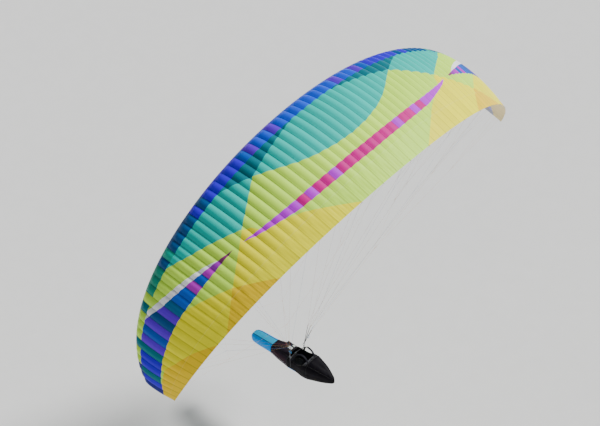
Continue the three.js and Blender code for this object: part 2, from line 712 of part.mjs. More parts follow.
// A flat strap along a curve, each row: x, y, z, then the direction across the strap
const STRAP_STEPS = 16;
function strap(rows, width, thickness) {
  const middle = new THREE.CatmullRomCurve3(rows.map((row) => vec(row[0], row[1], row[2])));
  const sideways = rows.map((row) => vec(row[3], row[4], row[5]));
  const rings = Array.from({ length: STRAP_STEPS + 1 }, (_, i) => {
    const at = i / STRAP_STEPS;
    const point = middle.getPoint(at);
    const along = middle.getTangent(at);
    const row = Math.min(Math.floor(at * (rows.length - 1)), rows.length - 2);
    const across = between(sideways[row], sideways[row + 1], at * (rows.length - 1) - row);
    across.addScaledVector(along, -across.dot(along)).normalize();
    const normal = along.clone().cross(across);
    return [[1, 1], [-1, 1], [-1, -1], [1, -1]].map(([a, n]) => point.clone()
      .addScaledVector(across, (a * width) / 2).addScaledVector(normal, (n * thickness) / 2));
  });
  return loft(rings);
}

// Shoulder strap: from the seat shell's rim, over the shoulder, to the top of the back foam
const SHOULDER = [
  [201, 34, RIM + GAP, 0, 1, 0],
  [201, 34, RIM + 30, 0, 1, 0],
  [198, 46, -40, 0.2, 1, 0],
  [182, 84, 30, 0.5, 1, 0],
  [156, 150, 110, 0.8, 0.7, 0],
  [134, 230, 146, 1, 0.3, 0],
  [124, 310, 136, 1, 0.1, 0],
  [120, 368, 86, 1, 0, 0],
  [118, 400, 30, 1, 0, 0],
  [118, 400, BACK_TOP + GAP, 1, 0, 0],
];
const CHEST_HEIGHT = -65;
const BUCKLE_AT = -38;
// Leg strap: from the chest buckle down the front of the seat pad to the foam's ledge
const BUCKLE_HALF = 18;
const LEG_THICK = 3;
const LEG_END = PAD_FRONT - GAP - LEG_THICK / 2;
const LEG = [
  [14, BUCKLE_AT, CHEST_HEIGHT - BUCKLE_HALF - GAP, 1, 0, 0],
  [14, BUCKLE_AT, CHEST_HEIGHT - BUCKLE_HALF - 16, 1, 0, 0],
  [30, -62, -150, 1, -0.1, 0],
  [64, -124, -240, 1, -0.2, 0],
  [86, LEG_END + 3, -315, 1, 0, 0],
  [90, LEG_END, -352, 1, 0, 0],
  [90, LEG_END, PROTECTOR_TOP + GAP, 1, 0, 0],
];
// Chest strap half: from the hang webbing to the buckle
const CHEST = [
  [HOOK_HALF - WEBBING / 2 - GAP, -2, CHEST_HEIGHT, 0, 0, 1],
  [HOOK_HALF - 20, -2, CHEST_HEIGHT, 0, 0, 1],
  [150, -24, CHEST_HEIGHT, 0, 0, 1],
  [80, -35, CHEST_HEIGHT, 0, 0, 1],
  [40, BUCKLE_AT, CHEST_HEIGHT, 0, 0, 1],
  [26.3, BUCKLE_AT, CHEST_HEIGHT, 0, 0, 1],
];
// Hang webbing: folded round the carabiner's lower bow and sewn down the seat shell's side
const HANG_LENGTH = 300 - BOW_RADIUS;
for (const side of [1, -1]) {
  const hand = side > 0 ? 'left' : 'right';
  const hang = pushed(foldedLoop(SLOT_HALF - 1, HANG_LENGTH), LOOP_WIDTH, 'XZ');
  hang.rotateX(Math.PI);
  hang.translate(side * HOOK_HALF, 0, -BOW_RADIUS);
  place(harness, `hang_strap_${hand}`, hang, 'black_webbing');
  place(harness, `shoulder_strap_${hand}`, onSide(strap(SHOULDER, 44, 6), side), 'black_cover');
  place(harness, `leg_strap_${hand}`, onSide(strap(LEG, 25, LEG_THICK), side), 'black_webbing');
  place(harness, `chest_strap_${hand}`, onSide(strap(CHEST, 25, 2.5), side), 'black_webbing');
}
const buckle = new THREE.BoxGeometry(52, 14, 2 * BUCKLE_HALF);
buckle.translate(0, BUCKLE_AT, CHEST_HEIGHT);
place(harness, 'chest_buckle', buckle, 'anodised_alloy');

// Reserve pocket on the right side of the seat shell, with its pull handle
const POCKET_AT = -60;
const pocket = new THREE.BoxGeometry(16, 84, 80);
pocket.translate(-(SEAT_HALF * FACET + GAP + 8), POCKET_AT, -256);
place(harness, 'reserve_pocket', pocket, 'black_cover');
const pull = roundEnded(THREE.Shape, 17, -22, 22);
pull.holes.push(roundEnded(THREE.Path, 9, -22, 22));
const pullMesh = pushed(pull, 12, 'YZ');
pullMesh.translate(-(SEAT_HALF * FACET + 2 * GAP + 16 + 6), POCKET_AT, -256);
place(harness, 'reserve_handle', pullMesh, 'red_webbing');

model.updateMatrixWorld(true);
export default model;
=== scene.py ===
import bisect
import math
import random

import bmesh
import bpy
from mathutils import Matrix, Vector


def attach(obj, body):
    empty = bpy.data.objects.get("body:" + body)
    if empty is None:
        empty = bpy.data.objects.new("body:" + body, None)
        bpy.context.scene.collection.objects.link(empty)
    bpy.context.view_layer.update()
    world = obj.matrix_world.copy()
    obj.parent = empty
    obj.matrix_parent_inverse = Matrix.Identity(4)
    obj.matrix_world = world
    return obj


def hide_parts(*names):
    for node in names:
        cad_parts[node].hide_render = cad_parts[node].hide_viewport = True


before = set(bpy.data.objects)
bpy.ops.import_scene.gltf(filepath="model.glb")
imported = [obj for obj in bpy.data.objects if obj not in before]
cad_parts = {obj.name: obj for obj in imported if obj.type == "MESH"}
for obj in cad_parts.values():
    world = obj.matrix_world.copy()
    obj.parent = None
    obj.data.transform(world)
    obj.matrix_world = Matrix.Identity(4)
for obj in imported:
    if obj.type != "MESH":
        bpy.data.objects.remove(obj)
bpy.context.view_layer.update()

# Camera, high above and behind the left tip, where it sees the whole upper skin and the pod
# under it. It is far off with a long lens, so the wing is hardly drawn in perspective.
EYE = (21.1016, 13.7655, 26.4896)
LOOK = (40.5368, -5.7917, 130.7552)     # degrees about X, Y and Z
FOCAL_LENGTH = 115.08                   # mm, for a sensor 36 mm wide
FARTHEST = 400                          # m, so that the floor isn't cut off

camera = bpy.data.objects.new("camera", bpy.data.cameras.new("camera"))
camera.data.lens = FOCAL_LENGTH
camera.data.clip_end = FARTHEST
camera.location = EYE
camera.rotation_euler = [math.radians(angle) for angle in LOOK]
bpy.context.scene.collection.objects.link(camera)
bpy.context.scene.camera = camera


# Floor and light. A plain pale floor lies well below the harness, and a wide soft lamp on the
# right tip's side models the cells, as the sun does, with even light from the whole sky.
def linear(code):
    """An sRGB hex colour such as "#2E8CF0", made linear, with full alpha."""
    parts = [int(code[i:i + 2], 16) / 255 for i in (1, 3, 5)]
    return [p / 12.92 if p < 0.04045 else ((p + 0.055) / 1.055) ** 2.4 for p in parts] + [1]


def add_node(tree, kind, sockets=None, ramp=(), **settings):
    """Add a node, apply its settings and ramp stops, and set or link its input sockets. A node
    given for a socket stands for its own first output."""
    node = tree.nodes.new("ShaderNode" + kind)
    for name, value in settings.items():
        setattr(node, name, value)
    for position, shade in ramp[1:-1]:
        node.color_ramp.elements.new(position)
    for i, (position, shade) in enumerate(ramp):
        node.color_ramp.elements[i].position = position
        node.color_ramp.elements[i].color = linear(shade)
    for socket, value in (sockets or {}).items():
        if isinstance(value, bpy.types.Node):
            value = value.outputs[0]
        if isinstance(value, bpy.types.NodeSocket):
            tree.links.new(value, node.inputs[socket])
        else:
            node.inputs[socket].default_value = value
    return node


def new_material(name):
    """An empty node material and its tree."""
    material = bpy.data.materials.new(name)
    material.use_nodes = True
    material.node_tree.nodes.clear()
    return material, material.node_tree


def finish_material(material, surface):
    """Link a shader node to the material's output."""
    output = add_node(material.node_tree, "OutputMaterial", {"Surface": surface})
    output.is_active_output = True
    return material


def mottled_material(name, marks, detail, dark, light, finish, grain=0.0):
    """A material whose shade varies a little, by a noise of so many marks per metre. finish holds
    the shader's other sockets, and grain is the strength of its bump."""
    material, tree = new_material(name)
    place = add_node(tree, "TexCoord")
    mottle = add_node(tree, "TexNoise", {
        "Vector": place.outputs["Object"], "Scale": marks, "Detail": detail})
    tint = add_node(tree, "ValToRGB", {"Fac": mottle}, ramp=[(0, dark), (1, light)])
    sockets = {"Base Color": tint, **finish}
    if grain:
        bump = add_node(tree, "Bump", {"Height": mottle, "Strength": grain, "Distance": 0.0002})
        sockets["Normal"] = bump
    return finish_material(material, add_node(tree, "BsdfPrincipled", sockets))


def piece(name, bm, *materials):
    """A mesh object from a bmesh, with its materials."""
    mesh = bpy.data.meshes.new(name)
    bm.to_mesh(mesh)
    bm.free()
    for material in materials:
        mesh.materials.append(material)
    made = bpy.data.objects.new(name, mesh)
    bpy.context.scene.collection.objects.link(made)
    return made


FLOOR_HEIGHT = -9.2
FLOOR_HALF = 160
ROLLER_MARKS = 3.0                      # per metre

# Matt painted floor: even and pale, with a faint roller texture
floor_paint = mottled_material(
    "floor_paint", ROLLER_MARKS, 4.0, "#E6E5E2", "#ECEBE9", {"Roughness": 0.9})
bm = bmesh.new()
bmesh.ops.create_grid(bm, x_segments=1, y_segments=1, size=FLOOR_HALF)
bmesh.ops.translate(bm, verts=bm.verts, vec=(0, 0, FLOOR_HEIGHT))
piece("floor", bm, floor_paint)

LAMPS = {                               # from where, strength in W/m2, width in degrees
    "key_lamp": ((-0.72, 0.20, 0.66), 5.2, 12),
    "fill_lamp": ((0.60, 0.45, 0.66), 0.6, 60),
}
for name, (source, strength, width) in LAMPS.items():
    lamp = bpy.data.objects.new(name, bpy.data.lights.new(name, "SUN"))
    lamp.data.energy = strength
    lamp.data.angle = math.radians(width)
    lamp.rotation_euler = Vector(source).to_track_quat("Z", "Y").to_euler()
    bpy.context.scene.collection.objects.link(lamp)

SKY_COLOUR, SKY_STRENGTH = "#E4ECF6", 0.26
world = bpy.data.worlds.new("sky")
world.use_nodes = True
sky = world.node_tree.nodes["Background"].inputs
sky["Color"].default_value = linear(SKY_COLOUR)
sky["Strength"].default_value = SKY_STRENGTH
bpy.context.scene.world = world

# Canopy. Two skins of silicone-coated ripstop nylon are sewn over 73 ribs into 72 cells that ram
# air swells into pillows. It is one closed shell here, its cell mouths open under the nose, and
# its coloured panels cut out on the flat cloth before the ribs give it its shape.
CELLS = 36                              # on each side
HALF_SPAN = 6.4                         # m along the cloth
ROOT_CHORD = 2.532
NOSE_AHEAD = 0.978
THICKNESS = 0.17                        # of the chord
TOP_SHARE = 0.58                        # of the thickness, above the chord line
TOP_CAMBER = 0.035
LOW_CAMBER = 0.01
TIP_WASHOUT = 0.1108
WASHOUT_AT = 0.3                        # chord share that the tips twist about
TIP_THINS, TIP_THINNING = 0.93, 0.7     # span share where it starts, and its part at the end
TOP_BULGE = 0.20                        # height of a pillow over its cell's width
LOW_BULGE = 0.05
SWELL_RUN = 0.05                        # chord share in which a pillow takes its form
NOSE_SEAM = 0.137                       # chord share where the nose band ends
NOSE_ROWS = 11
ROWS = 30                               # of faces from nose to trailing edge, on each skin
MINI_RIB_SEAM = 0.825                   # chord share where a half rib starts in each cell
MINI_RIB_CREASE = 0.86                  # and where it creases the cloth
COLUMNS = (0.0, 0.035, 0.17, 0.33, 0.5, 0.67, 0.83, 0.965)     # shares of a cell's width
MOUTH_CELLS = 31                        # from the middle, the rest are closed at the nose
MOUTH = (0.004, 0.042)                  # chord shares between the mouth's lips
MOUTH_DEPTH = 0.26                      # m that a mouth is open inwards
MOUTH_RISE = 0.25                       # and upwards, of that
TIP_ROUND = 0.006                       # m that the closed tip stands out


def arch_angle(share):
    return 0.892 * share + 0.136 * share ** 3 + 0.494 * share ** 9


def nose_sweep(share):
    return 0.3006 * share ** 2 + 0.5125 * share ** 4 + 0.3826 * share ** 10


def tail_sweep(share):
    return 0.9139 * share ** 2 - 0.323 * share ** 4 + 0.1129 * share ** 10


def rib_share(cells):
    part = cells / CELLS
    return 1.152 * part - 0.152 * part ** 3.2


def depth_shape(v):
    polynomial = -0.126 * v - 0.3516 * v ** 2 + 0.2843 * v ** 3 - 0.1015 * v ** 4
    return (0.2969 * math.sqrt(v) + polynomial) / 0.2


ARCH_STEPS = 400
arch = [Vector((0, 0, 0))]
for step in range(ARCH_STEPS):
    turn = arch_angle((step + 0.5) / ARCH_STEPS)
    run = Vector((math.cos(turn), 0, -math.sin(turn))) * HALF_SPAN / ARCH_STEPS
    arch.append(arch[-1] + run)
ribs = [rib_share(rib) for rib in range(CELLS + 1)]


def cell_at(share):
    """The cell at a share of the half span, and the share of its width up to there."""
    cell = min(bisect.bisect_right(ribs, share) - 1, CELLS - 1)
    return cell, (share - ribs[cell]) / (ribs[cell + 1] - ribs[cell])


def skin_point(share, v, above):
    """A point of the left half's skin, by share of the half span and share of the chord."""
    share = min(share, 1.0)
    chord = ROOT_CHORD - tail_sweep(share) - nose_sweep(share)
    step = min(int(share * ARCH_STEPS), ARCH_STEPS - 1)
    middle = arch[step].lerp(arch[step + 1], share * ARCH_STEPS - step)
    thinning = 1 - TIP_THINNING * max(0.0, (share - TIP_THINS) / (1 - TIP_THINS)) ** 2
    depth = THICKNESS * depth_shape(v) * thinning
    camber = math.sin(math.pi * v ** 0.8)
    cell, across = cell_at(share)
    pillow = 4 * across * (1 - across)
    half = 2 * across % 1
    lobes = 2 * half * (1 - half)
    towards_lobes = min(1.0, max(0.0, (v - MINI_RIB_SEAM) / SWELL_RUN))
    pillow += (lobes - pillow) * towards_lobes
    width = (ribs[cell + 1] - ribs[cell]) * HALF_SPAN
    swell = pillow * width * min(1.0, v / SWELL_RUN) * math.sqrt(1 - v)
    if above:
        rise = chord * (TOP_SHARE * depth + TOP_CAMBER * camber) + TOP_BULGE * swell
    else:
        rise = chord * ((TOP_SHARE - 1) * depth + LOW_CAMBER * camber) - LOW_BULGE * swell
    rise -= (v - WASHOUT_AT) * chord * TIP_WASHOUT * share ** 2
    turn = arch_angle(share)
    out = Vector((math.sin(turn), 0, math.cos(turn)))
    return middle + out * rise + Vector((0, nose_sweep(share) - NOSE_AHEAD + v * chord, 0))


# Panels of the upper skin: each cloth, then its outline by share of the half span and share of
# the chord. The first that holds a point gives its colour, and where none does, the cloth is
# light green. A cloth given as a list goes cell by cell from the middle.
AZURE, ROYAL, VIOLET, PETROL = "#1D55E7", "#3000DC", "#611DDA", "#00508B"
GREEN_TEAL, LIGHT_GREEN, TEAL = "#00977C", "#CEFF50", "#00C4B6"
DARK_TEAL, NAVY = "#007684", "#192189"
YELLOW, ORANGE, WHITE, ORCHID = "#FCF300", "#FCD400", "#FCFDFF", "#CB00ED"
ROSE, MAGENTA_VIOLET = "#D4008B", "#C427CE"
BLUE, DEEP_TEAL, SLATE = "#0057C4", "#006595", "#303F95"
PLUM, VIOLET_ROSE, SEA_GREEN = "#863070", "#A428BC", "#00A890"
BEYOND = 1.01
NOSE_CLOTHS = (
    4 * [AZURE] + [VIOLET] + 2 * [AZURE] + [VIOLET, BLUE] + 5 * [ROYAL] + [PETROL, ROYAL]
    + 4 * [PETROL] + [SEA_GREEN, PETROL] + 3 * [GREEN_TEAL] + [LIGHT_GREEN, DARK_TEAL]
    + 3 * [LIGHT_GREEN] + [DARK_TEAL] + 2 * [LIGHT_GREEN] + 3 * [SLATE])
WEDGE_CLOTHS = (
    17 * [PLUM] + [PLUM, VIOLET_ROSE, MAGENTA_VIOLET, BLUE, MAGENTA_VIOLET, BLUE, BLUE, DEEP_TEAL]
    + [VIOLET, PETROL, VIOLET, BLUE, VIOLET, DARK_TEAL, ROYAL, ROYAL, DARK_TEAL, ROYAL, NAVY])
STRIPE_CLOTHS = 4 * [ROSE] + [ORCHID] + 2 * [ROSE] + [ORCHID, ROSE] + 27 * [ORCHID]
PANELS = [
    ("nose", NOSE_CLOTHS, [(0, 0), (BEYOND, 0), (BEYOND, NOSE_SEAM), (0, NOSE_SEAM)]),
    ("tip_stripe", WHITE, [
        (0.792, 0.137), (0.818, 0.137), (0.761, 0.285), (0.70, 0.372), (0.62, 0.462),
        (0.56, 0.514), (0.588, 0.464), (0.650, 0.378), (0.718, 0.284), (0.768, 0.195)]),
    ("wedge", WEDGE_CLOTHS, [
        (0.818, 0.137), (BEYOND, 0.137), (BEYOND, 0.67), (0.99, 0.646), (0.944, 0.575),
        (0.889, 0.539), (0.817, 0.521), (0.761, 0.521), (0.683, 0.539), (0.611, 0.551),
        (0.51, 0.557), (0.62, 0.462), (0.70, 0.372), (0.761, 0.285)]),
    ("stripe", STRIPE_CLOTHS, [
        (0, 0.671), (0.144, 0.665), (0.30, 0.647), (0.366, 0.629), (0.422, 0.607),
        (0.476, 0.575), (0.44, 0.625), (0.40, 0.66), (0.344, 0.70), (0.30, 0.727),
        (0.222, 0.742), (0.133, 0.752), (0, 0.76)]),
    ("lens", TEAL, [
        (0, 0.137), (0.085, 0.137), (0.16, 0.175), (0.23, 0.214), (0.31, 0.268), (0.27, 0.33),
        (0.233, 0.39), (0.19, 0.45), (0.14, 0.50), (0.07, 0.54), (0, 0.554)]),
    ("triangle", DARK_TEAL, [
        (0.085, 0.137), (0.41, 0.137), (0.355, 0.205), (0.31, 0.268), (0.23, 0.214),
        (0.16, 0.175)]),
    ("shoulder", TEAL, [
        (0.41, 0.137), (0.667, 0.137), (0.597, 0.277), (0.511, 0.41), (0.451, 0.50),
        (0.38, 0.385), (0.31, 0.268), (0.355, 0.205)]),
    ("tip_orange", ORANGE, [
        (BEYOND, 0.60), (0.911, 0.607), (0.878, 0.714), (0.817, 0.848), (0.75, BEYOND),
        (BEYOND, BEYOND)]),
    ("edge_orange", ORANGE, [(0.597, 0.765), (0.485, BEYOND), (0.72, BEYOND)]),
    ("middle_yellow", YELLOW, [
        (0.451, 0.505), (0.597, 0.765), (0.485, BEYOND), (0.15, BEYOND), (0.295, 0.768),
        (0.42, 0.607), (0.43, 0.55)]),
    ("tip_yellow", YELLOW, [
        (0.74, 0.51), (0.597, 0.765), (0.72, BEYOND), (0.75, BEYOND), (0.817, 0.848),
        (0.878, 0.714), (0.911, 0.607), (0.92, 0.53), (0.85, 0.50)]),
]
SEAM_TAPE = (0.817, MINI_RIB_SEAM)      # a lighter band along the mini-rib seam
TAPE_WHITE = 0.05                       # share of white in it
PAINTED_GLOW = 0.6                              # share of the upper cloth's colour painted on the lower skin, as painted light shining through
MOUTH_PAINTED_SHADE = 0.45                     # of the colour, painted shade on a cell's inner faces
PANEL_VARIATION = 0.06                  # brightness between panels cut from different rolls


def around(outline):
    """The sides of a closed outline, each as its two ends."""
    return zip(outline, outline[1:] + outline[:1])


def is_inside(outline, x, y):
    """Whether a point of the flat cloth is in an outline."""
    held = False
    for (x1, y1), (x2, y2) in around(outline):
        if (y1 > y) != (y2 > y) and x < x1 + (y - y1) * (x2 - x1) / (y2 - y1):
            held = not held
    return held


def cloth_at(share, v):
    """The panel, the cell and the colour of the upper skin at a point."""
    cell = cell_at(share)[0]
    for panel, cloth, outline in PANELS:
        if is_inside(outline, share, v):
            return panel, cell, cloth if isinstance(cloth, str) else cloth[cell]
    return "field", cell, LIGHT_GREEN


# Flat half wing: the upper skin at positive y, the lower skin at negative y
bm = bmesh.new()
columns = CELLS * len(COLUMNS) + 1      # the last column closes the tip
bmesh.ops.create_grid(bm, x_segments=columns, y_segments=2 * ROWS, size=1)
for vert in bm.verts:
    column = round((vert.co.x + 1) / 2 * columns)
    row = round(vert.co.y * ROWS)
    cell, place = divmod(column, len(COLUMNS))
    vert.co.x = BEYOND if column == columns else rib_share(cell + COLUMNS[place])
    v = min(1.0, NOSE_SEAM * (row / NOSE_ROWS) ** 2)
    vert.co.y = math.copysign(v, row)


def cut_faces(bm, faces, at, normal):
    """Cut faces where a plane crosses them."""
    parts = set(faces)
    for face in faces:
        parts.update(face.verts)
        parts.update(face.edges)
    bmesh.ops.bisect_plane(bm, geom=list(parts), dist=1e-5, plane_co=at, plane_no=normal)


def cut_cloth(bm, start, end):
    """Cut the faces along a line between two points of the flat cloth."""
    low = [min(a, b) - 1e-4 for a, b in zip(start, end)]
    high = [max(a, b) + 1e-4 for a, b in zip(start, end)]
    crossed = []
    for face in bm.faces:
        xs = [vert.co.x for vert in face.verts]
        ys = [vert.co.y for vert in face.verts]
        if max(xs) > low[0] and min(xs) < high[0] and max(ys) > low[1] and min(ys) < high[1]:
            crossed.append(face)
    cut_faces(bm, crossed, (*start, 0), (end[1] - start[1], start[0] - end[0], 0))


borders = {((0, SEAM_TAPE[0]), (BEYOND, SEAM_TAPE[0])): True}
for panel, cloth, outline in PANELS[1:]:
    for start, end in around(outline):
        on_edge = (min(start[0], end[0]) >= 1 or max(start[0], end[0]) <= 0
                   or min(start[1], end[1]) >= 1 or max(start[1], end[1]) <= NOSE_SEAM)
        if not on_edge:
            borders[tuple(sorted((start, end)))] = True
for start, end in borders:
    for skin in (1, -1):
        cut_cloth(bm, (start[0], skin * start[1]), (end[0], skin * end[1]))

# Cell mouths: the cloth between the lips is pushed in as a pocket, its depth kept as z
mouths = []
for face in bm.faces:
    x, y, z = face.calc_center_median()
    cell, across = cell_at(x)
    is_open = COLUMNS[1] < across < COLUMNS[-1]
    if cell < MOUTH_CELLS and is_open and MOUTH[0] < -y < MOUTH[1]:
        mouths.append(face)
pushed = bmesh.ops.extrude_face_region(bm, geom=mouths)["geom"]
pocket_ends = [part for part in pushed if isinstance(part, bmesh.types.BMVert)]
bmesh.ops.translate(bm, verts=pocket_ends, vec=(0, 0, MOUTH_DEPTH))
bmesh.ops.delete(bm, geom=mouths, context="FACES")

rolls = random.Random(11)
brightness = {}
colour_layer = bm.loops.layers.float_color.new("cloth")
metre_layer = bm.loops.layers.uv.new("cloth_metres")
rib_layer = bm.verts.layers.float.new("rib_distance")
for face in bm.faces:
    x, y, z = face.calc_center_median()
    panel, cell, cloth = cloth_at(x, abs(y))
    if (panel, cell) not in brightness:
        brightness[panel, cell] = 1 + PANEL_VARIATION * (2 * rolls.random() - 1)
    colour = [part * brightness[panel, cell] for part in linear(cloth)]
    if y > 0 and SEAM_TAPE[0] < y < SEAM_TAPE[1]:
        colour = [part + (1 - part) * TAPE_WHITE for part in colour]
    # Painted light: the lower skin takes a share of the upper cloth's colour, as if lit through
    # the cloth
    if y < 0:
        colour = [below + (part - below) * PAINTED_GLOW for part, below in zip(colour, linear(WHITE))]
    # Painted shade: the faces inside a cell mouth are darkened
    if any(vert.co.z > 0 for vert in face.verts):
        colour = [part * MOUTH_PAINTED_SHADE for part in colour]
    face.smooth = True
    for loop in face.loops:
        loop[colour_layer] = (*colour[:3], 1)
        loop[metre_layer].uv = (loop.vert.co.x * HALF_SPAN, loop.vert.co.y * ROOT_CHORD)

# Creases: along the ribs and mini-ribs, round the mouths and at the trailing edge
for edge in bm.edges:
    flat = [vert.co for vert in edge.verts]
    cell = cell_at(flat[0].x + 1e-6)[0]
    on_rib = abs(flat[0].x - ribs[cell]) < 1e-5
    middle = rib_share(cell + 0.5)
    on_mini_rib = abs(flat[0].x - middle) < 1e-5 and min(abs(f.y) for f in flat) > MINI_RIB_CREASE
    is_spanwise = abs(flat[0].x - flat[1].x) > 1e-5
    is_lip = all(f.z == 0 for f in flat) and any(
        vert.co.z > 0 for face in edge.link_faces for vert in face.verts)
    is_end = min(abs(f.y) for f in flat) > 0.999
    if is_lip or is_end or (not is_spanwise and (on_rib or on_mini_rib)):
        edge.smooth = False

for vert in bm.verts:
    share, y, pocket = vert.co
    v = abs(y)
    cell = cell_at(share)[0]
    nearest = min(abs(min(share, 1) - ribs[cell]), abs(min(share, 1) - ribs[cell + 1]))
    vert[rib_layer] = nearest * HALF_SPAN
    point = skin_point(share, v, y > 0)
    if share > 1 or v > 0.9999:
        point = (skin_point(share, v, True) + skin_point(share, v, False)) / 2
    turn = arch_angle(min(share, 1))
    if share > 1:
        point += Vector((math.cos(turn), 0, -math.sin(turn))) * TIP_ROUND
    if pocket:
        point += Vector((math.sin(turn) * MOUTH_RISE, 1, math.cos(turn) * MOUTH_RISE)) * pocket
    vert.co = point

bmesh.ops.mirror(bm, geom=bm.verts[:] + bm.edges[:] + bm.faces[:], merge_dist=1e-5, axis="X")
bmesh.ops.remove_doubles(bm, verts=bm.verts, dist=1e-5)
bmesh.ops.recalc_face_normals(bm, faces=bm.faces)

# Ripstop nylon, 40 g/m2, woven and coated on its outer face: the coating gives a soft gloss, and
# every eighth thread is thicker, which draws fine squares. They are 5 mm apart in the real cloth
# and 25 mm here, so that they show. The needle gathers the cloth in short puckers beside a rib.
RIPSTOP = 0.025                         # m between thick threads
THREAD_WIDTH = 0.06                     # of that
PUCKER_REACH = 0.030                    # m on each side of a rib
RIB_SHADE_REACH = 0.013                  # m on each side of a rib that its painted crease shade spans
# Painted shade of a rib's crease: this ramp darkens the cloth's colour most at the rib
RIB_CREASE_PAINTED_SHADE = ((0.0, "#D0D0D0"), (0.2, "#E4E4E4"), (0.8, "#F0F0F0"), (1.0, "#FFFFFF"))
ripstop_nylon, tree = new_material("ripstop_nylon")
cloth = add_node(tree, "VertexColor", layer_name="cloth")
metres = add_node(tree, "UVMap", uv_map="cloth_metres")
squares = add_node(tree, "TexBrick", {
    "Vector": metres, "Scale": 1.0, "Mortar Size": RIPSTOP * THREAD_WIDTH,
    "Brick Width": RIPSTOP, "Row Height": RIPSTOP, "Color1": linear("#FFFFFF"),
    "Color2": linear("#FFFFFF"), "Mortar": linear("#000000")}, offset=0.0)
away = add_node(tree, "Attribute", attribute_name="rib_distance")
near_rib = add_node(tree, "MapRange", {
    "Value": away.outputs["Fac"], "From Min": 0.0, "From Max": PUCKER_REACH,
    "To Min": 1.0, "To Max": 0.0})
along = add_node(tree, "Mapping", {"Vector": metres, "Scale": (6.0, 55.0, 1.0)})
puckers = add_node(tree, "TexNoise", {"Vector": along, "Scale": 1.0, "Detail": 2.0})
gathered = add_node(tree, "Math", {0: near_rib, 1: puckers}, operation="MULTIPLY")
creases = add_node(tree, "TexNoise", {
    "Vector": metres, "Scale": 2.2, "Detail": 5.0, "Roughness": 0.6})
# Painted shade: the cloth's colour is darkened beside each rib, where the crease between two
# pillows lies in shade, and its brightness also wavers a little with the crease noise.
across_seam = add_node(tree, "MapRange", {
    "Value": away.outputs["Fac"], "From Min": 0.0, "From Max": RIB_SHADE_REACH})
seam = add_node(tree, "ValToRGB", {"Fac": across_seam}, ramp=RIB_CREASE_PAINTED_SHADE)
crease_tone = add_node(tree, "MapRange", {"Value": creases, "To Min": 0.93, "To Max": 1.05})
depth = add_node(tree, "Math", {0: seam, 1: crease_tone}, operation="MULTIPLY")
shade = add_node(tree, "HueSaturation", {"Color": cloth, "Value": depth})
low_bump = add_node(tree, "Bump", {"Height": creases, "Strength": 0.35, "Distance": 0.02})
pucker_bump = add_node(tree, "Bump", {
    "Height": gathered, "Strength": 0.8, "Distance": 0.012, "Normal": low_bump})
weave_bump = add_node(tree, "Bump", {
    "Height": squares.outputs["Fac"], "Strength": 0.15, "Distance": 0.001, "Normal": pucker_bump})
finish_material(ripstop_nylon, add_node(tree, "BsdfPrincipled", {
    "Base Color": shade, "Roughness": 0.45, "IOR": 1.5,
    "Specular IOR Level": 0.2, "Normal": weave_bump}))


def fit(name, bm, materials, body, nodes=None):
    """Make a piece, hide the CAD nodes that it stands for, and let it ride."""
    made = piece(name, bm, *materials)
    if nodes is not None:
        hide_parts(*nodes)
    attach(made, body)
    return made


fit("canopy", bm, [ripstop_nylon], "wing", [
    "canopy_centre", "canopy_inner_left", "canopy_inner_right", "canopy_outer_left",
    "canopy_outer_right", "canopy_tip_left", "canopy_tip_right"])

# Line tabs. Each line ends at a small triangle of polyester tape, sewn into a rib's lower seam
# in rows A, B and C and into the trailing edge for the brake. Its point holds the line's loop.
LINE_ROWS = {"a": (0.10, -1), "b": (0.36, 0), "c": (0.62, 1)}     # chord share, riser fan step
LINE_GROUPS = [[1, 4, 7, 10], [13, 16, 19, 22], [25, 28, 31, 33]]
STABILISER_ENDS = [(34, 0.10), (35, 0.36), (35, 0.62)]
BRAKE_RIBS = [2, 5, 8, 12, 16, 20, 24, 28, 32]
BRAKE_AT = 1.0
TAB_HALF = 0.014                        # m, half its length along the seam
TAB_DROP = 0.020
TAB_POINT = 0.003
TAB_THICK = 0.0016


def mirrored(point, side):
    return Vector((side * point.x, point.y, point.z))


def line_seat(rib, v, side):
    """Where a line meets the lower skin."""
    return mirrored(skin_point(ribs[rib], v, False), side)


tab_seats = [(rib, v) for v, fan in LINE_ROWS.values() for group in LINE_GROUPS for rib in group]
tab_seats += STABILISER_ENDS + [(rib, BRAKE_AT) for rib in BRAKE_RIBS]
bm = bmesh.new()
for side in (1, -1):
    for rib, v in tab_seats:
        seat = line_seat(rib, v, side)
        turn = arch_angle(ribs[rib])
        down = Vector((-side * math.sin(turn), 0, -math.cos(turn)))
        chordwise = (seat - line_seat(rib, v - 0.02, side)).normalized()
        if v == BRAKE_AT:
            down, chordwise = chordwise, down
        drawn = bmesh.ops.create_grid(bm, x_segments=2, y_segments=2, size=1)["verts"]
        for vert in drawn:
            depth = (1 - vert.co.y) / 2
            half = TAB_HALF + (TAB_POINT - TAB_HALF) * depth
            vert.co = seat + chordwise * vert.co.x * half + down * depth * TAB_DROP
bmesh.ops.solidify(bm, geom=bm.faces[:], thickness=TAB_THICK)
bmesh.ops.recalc_face_normals(bm, faces=bm.faces)


def ribbed_material(name, dark, light, pitch, direction, wave, relief, finish):
    """A material with ribs across its threads, their pitch and relief in metres. wave and finish
    hold the other sockets of the ribs and of the shader."""
    material, tree = new_material(name)
    place = add_node(tree, "TexCoord")
    threads = add_node(tree, "TexWave", {
        "Vector": place.outputs["Object"], "Scale": 1 / pitch / math.pi, **wave},
        bands_direction=direction)
    tint = add_node(
        tree, "ValToRGB", {"Fac": threads.outputs["Fac"]}, ramp=[(0, dark), (1, light)])
    bump = add_node(tree, "Bump", {"Height": threads.outputs["Fac"], "Distance": relief})
    return finish_material(material, add_node(tree, "BsdfPrincipled", {
        "Base Color": tint, "Normal": bump, **finish}))


